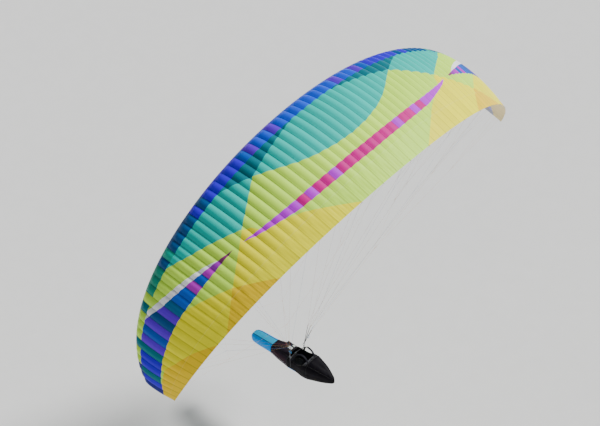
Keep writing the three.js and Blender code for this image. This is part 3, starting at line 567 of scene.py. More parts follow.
# Polyester tape, tightly woven: fine ribs across it, 1 mm apart and drawn 3 mm apart, and matt
TAPE_RIB = 0.003
polyester_tape = ribbed_material(
    "polyester_tape", "#B9BCC4", "#E9EAEE", TAPE_RIB, "DIAGONAL", {"Distortion": 0.4}, 0.0005,
    {"Roughness": 0.75})
fit("line_tabs", bm, [polyester_tape], "wing")

# Lines. Three rows of main lines rise from the risers and fork twice on their way to the tabs.
# Each is an aramid or polyester cord with a braided cover, sewn back on itself at both ends.
HINGE_DROP = 7.2
HOOK_HALF = 0.234                       # m, carabiner from the middle plane
BOW_RISE = 0.045                        # m, carabiner's lower bow to its upper bow
BOW_RADIUS = 0.020
RISER_LEAN = math.radians(14)
RISER_FAN = math.radians(7)             # between two riser webbings
RISER_LENGTH = 0.450
LINK_RISE = 0.022
LINK_BAR = 0.0036
LINE_FOOT = 0.0053                      # m, the lines' lower ends above the link
FOOT_RISE = RISER_LENGTH + LINK_RISE + LINK_BAR / 2 + LINE_FOOT
WEBBING_THICK = 0.0024
PULLEY_UP = 0.330
PULLEY_RADIUS = 0.009
PULLEY_THICK = 0.008
CLEARANCE = 0.0003                      # m between pieces that touch
PULLEY_BESIDE = WEBBING_THICK / 2 + CLEARANCE + PULLEY_THICK / 2
MAIN_LINE, MIDDLE_LINE, UPPER_LINE = 0.0022, 0.0017, 0.0013
FOOT_PITCH, FORK_PITCH, SPLIT_PITCH = 0.004, 0.004, 0.003
MAIN_SHARE, MIDDLE_SHARE = 0.6, 0.82    # of the way from riser to canopy
BRAKE_FORK, BRAKE_MIDDLE = 0.42, 0.74
SPLICE = 0.07                           # m of line sewn back on itself
SPLICE_FAT = 1.7                        # of the line's own width
SPLICE_END, SPLICE_RUN = 0.8, 0.015     # share of that at its end, and m that it thins out in
HANDS = ((1, "left"), (-1, "right"))


def riser_matrix(side, fan=0):
    """The frame of a riser webbing: its origin is the middle of the carabiner's upper bar."""
    hook = Matrix.Translation((side * HOOK_HALF, 0, -HINGE_DROP + BOW_RISE + BOW_RADIUS))
    lean = Matrix.Rotation(side * RISER_LEAN, 4, "Y")
    return hook @ lean @ Matrix.Rotation(-fan * RISER_FAN, 4, "X")


def beside(at, line, lines, pitch, side):
    return at + Vector((side * pitch * (line - (lines - 1) / 2), 0, 0))


def mean(points):
    return sum(points, Vector()) / len(points)


def add_line(curve, start, end, width):
    """One length of line, thicker where its ends are sewn back."""
    along = (end - start).normalized()
    splice = min(SPLICE, (end - start).length / 3)
    ended = splice + SPLICE_RUN
    stations = [
        (start, SPLICE_FAT), (start + along * splice, SPLICE_FAT * SPLICE_END),
        (start + along * ended, 1), (end - along * ended, 1),
        (end - along * splice, SPLICE_FAT * SPLICE_END), (end, SPLICE_FAT)]
    spline = curve.splines.new("POLY")
    spline.points.add(len(stations) - 1)
    for point, (at, fat) in zip(spline.points, stations):
        point.co = (*at, 1)
        point.radius = fat * width / MAIN_LINE


def add_cascade(curve, foot, axis, seats, per_split, fork_share, split_share, side):
    """A main line that forks into middle lines, each with its upper lines."""
    fork = axis.lerp(mean(seats), fork_share)
    add_line(curve, foot, fork, MAIN_LINE)
    splits = len(seats) // per_split
    for i in range(splits):
        group = seats[i * per_split:(i + 1) * per_split]
        split = axis.lerp(mean(group), split_share)
        add_line(curve, beside(fork, i, splits, FORK_PITCH, side), split, MIDDLE_LINE)
        for j, end in enumerate(group):
            start = beside(split, j, per_split, SPLIT_PITCH, side)
            add_line(curve, start, end, UPPER_LINE)


# Braided polyester cover: two strands cross every millimetre, drawn 6 mm long along the line
BRAID = 0.006
BRAID_SHADES = {
    "a": ("red_braid", "#7E241A", "#B8402E"), "b": ("ochre_braid", "#7C5C1E", "#B9923C"),
    "c": ("blue_braid", "#1F3F74", "#3D6FB0"), "brake": ("orange_braid", "#A86612", "#F0A02A")}
braids = {
    row: ribbed_material(*shades, BRAID, "Z", {"Distortion": 1.5, "Detail": 1.0}, 0.0003,
                         {"Roughness": 0.7, "Sheen Weight": 0.2})
    for row, shades in BRAID_SHADES.items()}


def line_set(row, hand):
    """An empty set of one row's lines, as one curve object."""
    curve = bpy.data.curves.new(f"{row}_cascade", "CURVE")
    curve.dimensions = "3D"
    curve.bevel_depth = MAIN_LINE / 2
    curve.bevel_resolution = 1
    curve.use_fill_caps = True
    curve.materials.append(braids[row])
    made = bpy.data.objects.new(f"{row}_cascade_{hand}", curve)
    bpy.context.scene.collection.objects.link(made)
    return made


# A set rides on the wing once its lines are drawn. Made to ride empty, it would be measured by
# the radii of its points, and the whole object's box would come out too large.
for side, hand in HANDS:
    for row, (v, fan) in LINE_ROWS.items():
        lines = line_set(row, hand)
        foot = riser_matrix(side, fan) @ Vector((0, 0, FOOT_RISE))
        mains = len(LINE_GROUPS) + 1
        for i, group in enumerate(LINE_GROUPS):
            seats = [line_seat(rib, v, side) for rib in group]
            start = beside(foot, i, mains, FOOT_PITCH, side)
            add_cascade(lines.data, start, foot, seats, 2, MAIN_SHARE, MIDDLE_SHARE, side)
        if row == "b":
            ends = [line_seat(rib, at, side) for rib, at in STABILISER_ENDS]
            fork = foot.lerp(mean(ends), MIDDLE_SHARE)
            start = beside(foot, mains - 1, mains, FOOT_PITCH, side)
            add_line(lines.data, start, fork, MAIN_LINE)
            for i, end in enumerate(ends):
                add_line(lines.data, fork + Vector((0, SPLIT_PITCH * (i - 1), 0)), end, UPPER_LINE)
        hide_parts(f"{row}_lines_{hand}")
        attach(lines, "wing")
    brakes = line_set("brake", hand)
    sheave = riser_matrix(side, 1) @ Vector(
        (side * PULLEY_BESIDE, 0, PULLEY_UP + PULLEY_RADIUS + CLEARANCE))
    seats = [line_seat(rib, BRAKE_AT, side) for rib in BRAKE_RIBS]
    add_cascade(brakes.data, sheave, sheave, seats, 3, BRAKE_FORK, BRAKE_MIDDLE, side)
    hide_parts(f"brake_lines_{hand}")
    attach(brakes, "wing")

# Risers. Polyester webbing folded round the carabiner's upper bar is sewn into one trunk, from
# which the A, B and C webbings fan out. Each is folded round the bar of its quick link.
WEBBING_WIDTH = 0.012
TRUNK_WIDTH = 0.018
TRUNK_THICK = 0.0025                    # each of its two layers
TRUNK_JOIN = 0.023                      # m above the bar, where the two layers meet
TRUNK_TOP = 0.070
TRUNK_OVERLAP = 0.028                   # m, the webbings' lower ends, between its layers
RISER_FOLD, FOLD_DROP = 0.0068, 0.0018  # m, radius round the bar, and its middle's drop
LINK_RING = 0.0036                      # m, webbing's middle round the link's bar
LINK_NECK = 0.012                       # m below the link, where the fold closes
LINK_TAIL = (0.0002, 0, -0.002)         # m from there, where its inner end lies
ACROSS, ALONG, UP = Vector((1, 0, 0)), Vector((0, 1, 0)), Vector((0, 0, 1))


def new_shape():
    """An empty bmesh whose points carry metres along and across their strip."""
    bm = bmesh.new()
    bm.verts.layers.float.new("run")
    bm.verts.layers.float.new("side")
    return bm


def loft(bm, rings, runs=None, sides=None, is_closed=False):
    """A skin through rings of points: the first ring's edges are extruded from ring to ring."""
    run_layer = bm.verts.layers.float["run"]
    side_layer = bm.verts.layers.float["side"]
    verts = [bm.verts.new(point) for point in rings[0]]
    count = len(verts)
    edges = [bm.edges.new((verts[i], verts[(i + 1) % count])) for i in range(count)]
    first, added = edges, list(verts)
    for number, ring in enumerate(rings):
        if number:
            place = {vert: i for i, vert in enumerate(verts)}
            drawn = bmesh.ops.extrude_edge_only(bm, edges=edges)["geom"]
            edges = [part for part in drawn if isinstance(part, bmesh.types.BMEdge)]
            moved = [None] * count
            for vert in (part for part in drawn if isinstance(part, bmesh.types.BMVert)):
                for edge in vert.link_edges:
                    other = edge.other_vert(vert)
                    if other in place:
                        moved[place[other]] = vert
            for vert, point in zip(moved, ring):
                vert.co = point
            verts = moved
            added += verts
        for i, vert in enumerate(verts):
            vert[run_layer] = runs[number] if runs else 0.0
            vert[side_layer] = sides[i] if sides else 0.0
    if is_closed:
        bmesh.ops.bridge_loops(bm, edges=first + edges)
    else:
        bmesh.ops.contextual_create(bm, geom=first)
        bmesh.ops.contextual_create(bm, geom=edges)
    return added


def sweep(bm, section, points, across, is_closed=False):
    """Draw a section, given as places across and through it, along a line of points."""
    last = len(points) - 1
    ways = across if isinstance(across, list) else [across] * len(points)
    rings, runs, run = [], [], 0.0
    for i, point in enumerate(points):
        before = points[i - 1] if i or is_closed else point
        after = points[(i + 1) % len(points)] if i < last or is_closed else point
        along = (after - before).normalized()
        sideways = (ways[i] - along * ways[i].dot(along)).normalized()
        normal = along.cross(sideways)
        run += (point - points[i - 1]).length if i else 0.0
        rings.append([point + sideways * a + normal * n for a, n in section])
        runs.append(run)
    return loft(bm, rings, runs, [a for a, n in section], is_closed)


def flat_section(width, thickness):
    """Outline of a strap: its two narrow edges are rounded."""
    half, thin = width / 2, thickness / 2
    edge = thin * 0.7
    return [(half, -thin + edge), (half, thin - edge), (half - edge, thin), (0, thin),
            (edge - half, thin), (-half, thin - edge), (-half, edge - thin),
            (edge - half, -thin), (0, -thin), (half - edge, -thin)]


def round_section(radius, sides=12):
    turns = [2 * math.pi * i / sides for i in range(sides)]
    return [(radius * math.cos(turn), radius * math.sin(turn)) for turn in turns]


def bow(radius, middle, start, end, steps=10):
    """Points of an arc in the plane of X and Z, by degrees from +X."""
    turns = [math.radians(start + (end - start) * i / steps) for i in range(steps + 1)]
    return [Vector((radius * math.cos(t), 0, middle + radius * math.sin(t))) for t in turns]


def straight(start, end, steps):
    return [start.lerp(end, i / steps) for i in range(steps + 1)]


def face_outwards(bm, is_smooth=False):
    """Turn a closed shape's faces outwards, and shade them smooth or flat."""
    bmesh.ops.recalc_face_normals(bm, faces=bm.faces)
    for face in bm.faces:
        face.smooth = is_smooth


def folded_webbing(radius, length, steps):
    """Path of a webbing that goes down, round a bar and up again, sewn together above it."""
    leg = TRUNK_THICK / 2
    fold = bow(leg + radius, -FOLD_DROP, 180, 360, 12)
    join = Vector((-leg, 0, TRUNK_JOIN))
    down = straight(Vector((-leg, 0, length)), join, steps)[:-1]
    down += straight(join, fold[0], 4)[:-1]
    return down + fold + [mirrored(point, -1) for point in reversed(down)]


# Polyester webbing: dull black, woven with ribs across it. They are 1.5 mm apart in the real
# strap and 3 mm here. Its edges are bound tighter.
WEAVE = 0.003


def strip_plane(tree):
    """A vector of the metres along and across a strip, as its points carry them."""
    run, side = [add_node(tree, "Attribute", attribute_name=name) for name in ("run", "side")]
    return add_node(tree, "CombineXYZ", {"X": run.outputs["Fac"], "Y": side.outputs["Fac"]})


def crossed_bands(tree, place, pitch, directions):
    """Two sets of bands, multiplied, as threads that cross. Their pitch is in metres."""
    bands = [add_node(tree, "TexWave", {"Vector": place, "Scale": 1 / pitch / math.pi},
                      bands_direction=direction).outputs["Fac"] for direction in directions]
    return add_node(tree, "Math", dict(enumerate(bands)), operation="MULTIPLY")


def polyester_webbing(name, dark, light, weave=WEAVE):
    material, tree = new_material(name)
    woven = crossed_bands(tree, strip_plane(tree), weave, ("X", "Y"))
    place = add_node(tree, "TexCoord")
    dust = add_node(tree, "TexNoise", {
        "Vector": place.outputs["Object"], "Scale": 40.0, "Detail": 4.0})
    mixed = add_node(tree, "Math", {0: woven, 1: dust}, operation="ADD")
    tint = add_node(tree, "ValToRGB", {"Fac": mixed}, ramp=[(0.35, dark), (1, light)])
    bump = add_node(tree, "Bump", {"Height": woven, "Strength": 0.7, "Distance": 0.0008})
    return finish_material(material, add_node(tree, "BsdfPrincipled", {
        "Base Color": tint, "Roughness": 0.82, "Sheen Weight": 0.2, "Normal": bump}))


black_webbing = polyester_webbing("black_polyester_webbing", "#101014", "#2C2C34")
bartack_thread = mottled_material(
    "bonded_nylon_thread", 900.0, 2.0, "#8E2A20", "#D8503C", {"Roughness": 0.55})
TRUNK_TACKS, NECK_TACK = (0.035, 0.060), 0.425         # m up, bar tacks across a webbing
TACK_RADIUS = 0.0009
TACK_HALF = 0.42                        # of the webbing's width


def add_tack(bm, up, width, lift):
    """A bar tack: a short raised row of thread on both faces of a webbing."""
    added = []
    for face in (-lift, lift):
        ends = [Vector((face, end * TACK_HALF * width, up)) for end in (-1, 1)]
        added += sweep(bm, round_section(TACK_RADIUS, 6), straight(*ends, 2), UP)
    return added


for side, hand in HANDS:
    bm, tacks = new_shape(), new_shape()
    path = folded_webbing(RISER_FOLD, TRUNK_TOP, 5)
    sweep(bm, flat_section(TRUNK_WIDTH, TRUNK_THICK), path, ALONG)
    for up in TRUNK_TACKS:
        add_tack(tacks, up, TRUNK_WIDTH, TRUNK_THICK)
    for shape in (bm, tacks):
        bmesh.ops.transform(shape, matrix=riser_matrix(side), verts=shape.verts)
    for row, (v, fan) in LINE_ROWS.items():
        neck = Vector((0, 0, RISER_LENGTH - LINK_NECK))
        path = straight(Vector((0, 0, TRUNK_TOP - TRUNK_OVERLAP)), neck, 12)
        path += bow(LINK_RING, RISER_LENGTH, 240, -60) + [neck + Vector(LINK_TAIL)]
        webbing = sweep(bm, flat_section(WEBBING_WIDTH, WEBBING_THICK), path, ALONG)
        tack = add_tack(tacks, NECK_TACK, WEBBING_WIDTH, WEBBING_THICK / 2)
        for shape, added in ((bm, webbing), (tacks, tack)):
            bmesh.ops.transform(shape, matrix=riser_matrix(side, fan), verts=added)
    face_outwards(bm)
    face_outwards(tacks)
    fit(f"riser_webbing_{hand}", bm, [black_webbing], "wing", [f"riser_{hand}"])
    fit(f"riser_bar_tacks_{hand}", tacks, [bartack_thread], "wing")

# Quick links. A bent steel rod with rounded corners carries the line ends of one row. Its gap is
# closed by a six-sided sleeve nut on the rear side.
LINK_HALF = 0.0087                      # m, middle of the rod from the middle of the link
LINK_CORNER = 0.0055
SLEEVE_RADIUS = 0.0032
SLEEVE_HALF = 0.0045
SLEEVE_FLAT = 8e-6                      # m2, under the area of one of its six sides

# Stainless steel, drawn and tumbled: bright grey, with soft scratches along the rod
stainless_steel, tree = new_material("stainless_steel")
place = add_node(tree, "TexCoord")
stretch = add_node(tree, "Mapping", {
    "Vector": place.outputs["Object"], "Scale": (900.0, 900.0, 60.0)})
scratches = add_node(tree, "TexNoise", {"Vector": stretch, "Detail": 3.0})
polish = add_node(tree, "MapRange", {"Value": scratches, "To Min": 0.18, "To Max": 0.38})
finish_material(stainless_steel, add_node(tree, "BsdfPrincipled", {
    "Base Color": linear("#C3C6CB"), "Metallic": 1.0, "Roughness": polish}))


def rounded_ring(half_y, low, high, corner, steps=5):
    """Points of a ring with round corners in the plane of Y and Z."""
    points = []
    for turn, y, z in ((0, half_y, high), (90, -half_y, high), (180, -half_y, low),
                       (270, half_y, low)):
        middle = Vector((0, y - math.copysign(corner, y), z - corner if z == high else z + corner))
        points += [middle + Vector((0, point.x, point.z))
                   for point in bow(corner, 0, turn, turn + 90, steps)]
    return points


for side, hand in HANDS:
    for row, (v, fan) in LINE_ROWS.items():
        bm = new_shape()
        ring = rounded_ring(LINK_HALF, 0.0, LINK_RISE, LINK_CORNER)
        sweep(bm, round_section(LINK_BAR / 2, 10), ring, ACROSS, is_closed=True)
        rear = Vector((0, LINK_HALF, LINK_RISE / 2))
        sleeve = [rear + UP * up for up in (-SLEEVE_HALF, SLEEVE_HALF)]
        sweep(bm, round_section(SLEEVE_RADIUS, 6), sleeve, ACROSS)
        bmesh.ops.translate(bm, verts=bm.verts, vec=(0, 0, RISER_LENGTH))
        bmesh.ops.transform(bm, matrix=riser_matrix(side, fan), verts=bm.verts)
        bmesh.ops.recalc_face_normals(bm, faces=bm.faces)
        for face in bm.faces:
            face.smooth = face.calc_area() < SLEEVE_FLAT
        fit(f"quick_link_rod_{row}_{hand}", bm, [stainless_steel], "wing",
            [f"quick_link_{row}_{hand}"])

# Carabiners. A forged alloy ring stands fore and aft: the harness hangs on its lower bow and the
# riser on its upper one. The gate on its front side is a thinner bar under a knurled sleeve.
CARABINER_BAR = 0.0052                  # m, radius
GATE_RADIUS = 0.0060
GATE_HALF = 0.015
KNURLS = 9
KNURL_DEPTH = 0.0006
GATE_COLLAR = 0.97                      # of its half length, where it meets the bar

# Anodised aluminium, forged, tumbled and dyed grey: satin, with a faint mottle from the die
anodised_alloy, tree = new_material("anodised_aluminium")
place = add_node(tree, "TexCoord")
mottle = add_node(tree, "TexNoise", {
    "Vector": place.outputs["Object"], "Scale": 160.0, "Detail": 4.0})
satin = add_node(tree, "MapRange", {"Value": mottle, "To Min": 0.28, "To Max": 0.42})
tint = add_node(tree, "ValToRGB", {"Fac": mottle}, ramp=[(0, "#767C86"), (1, "#9AA0AA")])
finish_material(anodised_alloy, add_node(tree, "BsdfPrincipled", {
    "Base Color": tint, "Metallic": 1.0, "Roughness": satin}))


def bow_ring(radius, low, high, steps):
    """Points of a ring in the plane of Y and Z: a lower bow, and an upper bow."""
    ring = bow(radius, low, 180, 360, steps) + bow(radius, high, 0, 180, steps)
    return [Vector((0, point.x, point.z)) for point in ring]


for side, hand in HANDS:
    hook = Matrix.Translation((side * HOOK_HALF, 0, -HINGE_DROP))
    bm = new_shape()
    ring = bow_ring(BOW_RADIUS, 0.0, BOW_RISE, 16)
    sweep(bm, round_section(CARABINER_BAR, 14), ring, ACROSS, is_closed=True)
    bmesh.ops.transform(bm, matrix=hook, verts=bm.verts)
    face_outwards(bm, is_smooth=True)
    fit(f"carabiner_body_{hand}", bm, [anodised_alloy], "wing",
        [f"carabiner_{hand}"])

    bm = new_shape()
    rings = []
    for i in range(4 * KNURLS + 1):
        up = GATE_HALF * (2 * i / (4 * KNURLS) - 1)
        radius = GATE_RADIUS - (KNURL_DEPTH if i % 4 > 1 else 0.0)
        if abs(up) > GATE_HALF * GATE_COLLAR:
            radius = CARABINER_BAR
        rings.append([Vector((a, n - BOW_RADIUS, BOW_RISE / 2 + up))
                      for a, n in round_section(radius, 18)])
    loft(bm, rings)
    bmesh.ops.transform(bm, matrix=hook, verts=bm.verts)
    face_outwards(bm)
    fit(f"carabiner_sleeve_{hand}", bm, [stainless_steel], "wing")

# Brake pulleys and handles. A small nylon sheave between two cheeks leads the brake line down
# the C riser to a soft triangular handle of webbing, parked under it on its snap.
HANDLE_HALF = 0.042
HANDLE_DROP = 0.118
HANDLE_CORD = 0.009
HANDLE_EYE, HANDLE_NECK = 0.012, 0.018  # m below the pulley, its top corner and its neck's end
NECK_RADIUS = 0.0036
CHEEK = 0.0011                          # m thick
GROOVE = 0.0025                         # m deep

# Glass-filled nylon, moulded: near black, satin, with a fine spark-eroded grain
moulded_nylon = mottled_material(
    "moulded_nylon", 1500.0, 2.0, "#18181B", "#2A2A2E", {"Roughness": 0.5}, 0.3)
azure_webbing = polyester_webbing("azure_polyester_webbing", "#0A6FA8", "#1C9BE0")

for side, hand in HANDS:
    rear = riser_matrix(side, 1)
    beside_riser = side * PULLEY_BESIDE
    bm = new_shape()
    half = PULLEY_THICK / 2
    profile = [(0.0, half), (PULLEY_RADIUS * 0.92, half), (PULLEY_RADIUS, half * 0.8),
               (PULLEY_RADIUS, half - CHEEK), (PULLEY_RADIUS - GROOVE, half * 0.35)]
    profile += [(r, -x) for r, x in reversed(profile)]
    outline = [bm.verts.new((x, r, 0)) for r, x in profile]
    strip = [bm.edges.new(pair) for pair in zip(outline, outline[1:])]
    bmesh.ops.spin(bm, geom=outline + strip, axis=(1, 0, 0), cent=(0, 0, 0), steps=28,
                   angle=2 * math.pi, use_merge=True)
    bmesh.ops.remove_doubles(bm, verts=bm.verts, dist=1e-6)
    face_outwards(bm)
    bmesh.ops.translate(bm, verts=bm.verts, vec=(beside_riser, 0, PULLEY_UP))
    bmesh.ops.transform(bm, matrix=rear, verts=bm.verts)
    fit(f"brake_sheave_{hand}", bm, [moulded_nylon], "wing",
        [f"brake_pulley_{hand}"])

    bm = new_shape()
    top = PULLEY_UP - PULLEY_RADIUS - CLEARANCE
    inner = HANDLE_HALF - HANDLE_CORD / 2
    low = top - HANDLE_DROP + HANDLE_CORD / 2
    corners = [Vector((beside_riser, y, z)) for y, z in (
        (0.0, top - HANDLE_EYE), (-inner, low + inner * 0.35), (-inner * 0.62, low),
        (inner * 0.62, low), (inner, low + inner * 0.35))]
    path = []
    for start, end in around(corners):
        path += straight(start, end, 8)[1:-1]
    sweep(bm, flat_section(PULLEY_THICK, HANDLE_CORD * 0.7), path, ACROSS, is_closed=True)
    neck = [Vector((beside_riser, 0, up)) for up in (top - HANDLE_NECK, top)]
    sweep(bm, round_section(NECK_RADIUS), neck, ACROSS)
    bmesh.ops.transform(bm, matrix=rear, verts=bm.verts)
    face_outwards(bm, is_smooth=True)
    fit(f"brake_toggle_{hand}", bm, [azure_webbing], "wing",
        [f"brake_handle_{hand}"])

# Pod harness covers. Stretch fabric is sewn over a frame of foam plates: an azure foot cover, a
# dark leg pod, the black seat shell and an air-filled tail fairing. Each is one sewn shell here.
HARNESS = Matrix.Translation((0, 0, -HINGE_DROP)) @ Matrix.Rotation(math.radians(11.4), 4, "X")
POD_ROUNDNESS = 3.2                     # exponent of its rounded sections
SIDE_HALF = 0.2325                      # m, beside the seat
# Along the pod, half width, half height and the middle's height, in m from the hinge
POD_SECTIONS = [
    (-1.283, 0.055, 0.050, -0.256), (-1.262, 0.100, 0.090, -0.256),
    (-1.200, 0.132, 0.118, -0.256), (-1.050, 0.148, 0.130, -0.256),
    (-0.661, 0.158, 0.136, -0.256), (-0.430, 0.198, 0.171, -0.256),
    (-0.200, 0.222, 0.198, -0.256), (-0.110, SIDE_HALF, 0.214, -0.256),
    (0.120, SIDE_HALF, 0.226, -0.250), (0.300, 0.250, 0.256, -0.240),
    (0.450, 0.246, 0.254, -0.226), (0.600, 0.212, 0.216, -0.227),
    (0.750, 0.170, 0.178, -0.234), (0.880, 0.118, 0.136, -0.248),
    (0.980, 0.070, 0.099, -0.258), (1.030, 0.038, 0.075, -0.264), (1.048, 0.015, 0.053, -0.266)]
POD_FRONT, FOOT_COVER_END, LEG_POD_END = -1.283, -0.640, -0.110
TAIL_START, TAIL_END = 0.450, 1.048
COVER_THICK = 0.006                     # m of fabric and foam
# Turn from the side up to the seam beside the top, at places along the pod
SEAM_LINE = [(-1.283, 60), (-0.64, 60), (-0.33, 54), (-0.11, 47), (1.048, 47)]
SIDE_FACES, TOP_FACES, LOW_FACES = 12, 6, 18    # in each quarter, below, above the seam, and under
FACES_AROUND = 2 * (SIDE_FACES + TOP_FACES + LOW_FACES)


def pod_section(at):
    """The pod's half width, half height and middle at a place along it, eased between rows."""
    high = next(i for i, row in enumerate(POD_SECTIONS) if row[0] >= at - 1e-6)
    high = max(1, high)
    low = high - 1

    def slope(row, column):
        first, last = max(0, row - 1), min(len(POD_SECTIONS) - 1, row + 1)
        rise = POD_SECTIONS[last][column] - POD_SECTIONS[first][column]
        return rise / (POD_SECTIONS[last][0] - POD_SECTIONS[first][0])

    start, end = POD_SECTIONS[low], POD_SECTIONS[high]
    length = end[0] - start[0]
    t = (at - start[0]) / length
    eased = t * t * (3 - 2 * t)
    return [start[c] + (end[c] - start[c]) * eased
            + length * (t * (1 - t) ** 2 * slope(low, c) - t * t * (1 - t) * slope(high, c))
            for c in (1, 2, 3)]


def pod_point(at, turn, inset=0.0):
    """A point of the pod's skin. turn runs from the left side over the top."""
    half, height, middle = pod_section(at)
    c, s = math.cos(turn), math.sin(turn)
    reach = (abs(c) ** POD_ROUNDNESS + abs(s) ** POD_ROUNDNESS) ** (-1 / POD_ROUNDNESS)
    return Vector(((half - inset) * reach * c, at, middle + (height - inset) * reach * s))


def along_line(line, at):
    """The height at a place along a line of points, each given as place and height."""
    for (start, low), (end, high) in zip(line, line[1:]):
        if at <= end:
            return low + (high - low) * (at - start) / (end - start)
    return line[-1][1]


def seam_turn(at):
    """The turn of the seam beside the top, at a place along the pod."""
    return math.radians(along_line(SEAM_LINE, at))


def spaced(start, end, steps):
    return [start + (end - start) * i / steps for i in range(steps + 1)]


def pod_turns(at):
    """Turns of the lines along the pod, from its lowest line round, with one on each seam."""
    seam = seam_turn(at)
    quarter = spaced(-math.pi / 2, 0, LOW_FACES)[:-1] + spaced(0, seam, SIDE_FACES)[:-1]
    quarter += spaced(seam, math.pi / 2, TOP_FACES)
    return quarter + [math.pi - turn for turn in reversed(quarter[:-1])]


def pod_tube(places, inset=0.0):
    """A sewn tube of the pod's skin through places along it, open at both ends."""
    bm = new_shape()
    verts = bmesh.ops.create_grid(
        bm, x_segments=FACES_AROUND, y_segments=len(places) - 1, size=1)["verts"]
    for vert in verts:
        at = places[round((vert.co.y + 1) / 2 * (len(places) - 1))]
        turn = pod_turns(at)[round((vert.co.x + 1) / 2 * FACES_AROUND)]
        vert.co = pod_point(at, turn, inset)
    bmesh.ops.remove_doubles(bm, verts=bm.verts, dist=1e-6)
    face_outwards(bm, is_smooth=True)
    return bm


def hang(name, bm, materials, nodes, thick=0.0):
    """Pitch a shape with the harness, and make it a piece that rides on it. A wall of some
    thickness shows the lining on its inner side."""
    bmesh.ops.transform(bm, matrix=HARNESS, verts=bm.verts)
    shown = [*materials, lining] if thick else materials
    made = fit(name, bm, shown, "harness", nodes)
    if thick:
        wall = made.modifiers.new("wall", "SOLIDIFY")
        wall.thickness = thick
        wall.offset = -1
        wall.material_offset = len(materials)
    return made


# Stretch nylon over foam: a smooth knit with a soft sheen that pulls into slack folds between
# its seams. The knit's 0.5 mm loops are drawn 4 mm apart.
KNIT = 0.004


def cover_fabric(name, dark, light, roughness, fold_depth=0.004, weave=KNIT):
    material, tree = new_material(name)
    place = add_node(tree, "TexCoord")
    folds = add_node(tree, "Mapping", {
        "Vector": place.outputs["Object"], "Scale": (16.0, 2.4, 16.0)})
    slack = add_node(tree, "TexNoise", {
        "Vector": folds, "Scale": 1.0, "Detail": 1.0, "Roughness": 0.4})
    loops = add_node(tree, "TexVoronoi", {
        "Vector": place.outputs["Object"], "Scale": 1 / weave}, feature="F1")
    wear = add_node(tree, "TexNoise", {
        "Vector": place.outputs["Object"], "Scale": 90.0, "Detail": 6.0})
    tint = add_node(tree, "ValToRGB", {"Fac": wear}, ramp=[(0.3, dark), (0.7, light)])
    low = add_node(tree, "Bump", {"Height": slack, "Strength": 0.8, "Distance": fold_depth * 4})
    fine = add_node(tree, "Bump", {
        "Height": loops, "Strength": 0.25, "Distance": 0.0006, "Normal": low})
    return finish_material(material, add_node(tree, "BsdfPrincipled", {
        "Base Color": tint, "Roughness": roughness,
        "Specular IOR Level": 0.08, "Sheen Weight": 0.02, "Sheen Roughness": 0.4, "Normal": fine}))


# Painted light: one azure fabric as a lit copy for the foot cover's top and a shaded copy for its
# sides. The deeper copy is also the hip strip's own colour.
azure_painted_lit_top = cover_fabric("azure_stretch_nylon", "#00ACDC", "#00BCEE", 0.5)
deep_azure_and_painted_shade = cover_fabric("deep_azure_nylon_and_painted_shade", "#0094F0", "#00A4FF", 0.5)
dark_cover = cover_fabric("charcoal_stretch_nylon", "#1E1822", "#2C222E", 0.6)
side_mesh = cover_fabric("plum_stretch_nylon", "#220E1C", "#341628", 0.6)
black_cover = cover_fabric("black_stretch_nylon", "#060409", "#0C0811", 0.6)
lining = cover_fabric("grey_lining", "#1B1B20", "#27272E", 0.8, 0.002)
piping_fabric = polyester_webbing("black_piping", "#050508", "#101014", 0.002)


def face_turn(face):
    """A face's place along the pod, and its turn as on the left side."""
    x, y, z = face.calc_center_median()
    half, height, middle = pod_section(y)
    return y, math.atan2((z - middle) / height, abs(x) / half)


def draw_in(bm, end, rings):
    """Draw a tube's open end together, ring by ring. A ring keeps a share of the last one's size
    and moves on along the pod."""
    rim = [edge for edge in bm.edges
           if edge.is_boundary and all(abs(vert.co.y - end) < 1e-4 for vert in edge.verts)]
    for share, ahead in rings:
        drawn = bmesh.ops.extrude_edge_only(bm, edges=rim)["geom"]
        ring = [part for part in drawn if isinstance(part, bmesh.types.BMVert)]
        rim = [part for part in drawn if isinstance(part, bmesh.types.BMEdge)]
        middle = mean([vert.co for vert in ring])
        for vert in ring:
            vert.co = middle + (vert.co - middle) * share + Vector((0, ahead, 0))
    bmesh.ops.contextual_create(bm, geom=rim)
    face_outwards(bm, is_smooth=True)


# Foot cover. One azure fabric, drawn as a lighter lit copy on top and a deeper shaded copy
# below the zips as painted light and shade, is drawn together at the nose over a foam toe cap.
TOE = (-1.262, -1.20)                   # along the pod, where the toe starts and is full
cover_places = spaced(POD_FRONT, TOE[0], 3)[:-1] + spaced(*TOE, 4)[:-1]
cover_places += spaced(TOE[1], FOOT_COVER_END, 18)
bm = pod_tube(cover_places)
draw_in(bm, POD_FRONT, ((0.72, -0.006), (0.4, -0.003), (0.1, -0.001)))
for face in bm.faces:
    at, turn = face_turn(face)
    # Painted light: faces above the seam take the lit copy, those below it the shaded one
    face.material_index = 0 if turn > seam_turn(at) else 1
hang("foot_cover_skin", bm, [azure_painted_lit_top, deep_azure_and_painted_shade], ["foot_cover"], COVER_THICK)

# Leg pod. Charcoal stretch panels between the cover and the seat, with a plum one let in low on
# each side, are sewn to both.
SEWN = 0.001                            # m that a cover ends before its joint
PLUM_PANEL = (-0.60, -0.15)
PLUM_LOW, PLUM_HIGH = math.radians(-20), 0.55      # turn below, and share of the seam's above
leg_places = spaced(FOOT_COVER_END + SEWN, LEG_POD_END - SEWN, 22)
bm = pod_tube(leg_places)
for face in bm.faces:
    at, turn = face_turn(face)
    is_plum = (PLUM_PANEL[0] < at < PLUM_PANEL[1]
               and PLUM_LOW < turn < PLUM_HIGH * seam_turn(at))
    face.material_index = 1 if is_plum else 0
hang("leg_pod_skin", bm, [dark_cover, side_mesh], ["leg_pod"], COVER_THICK)

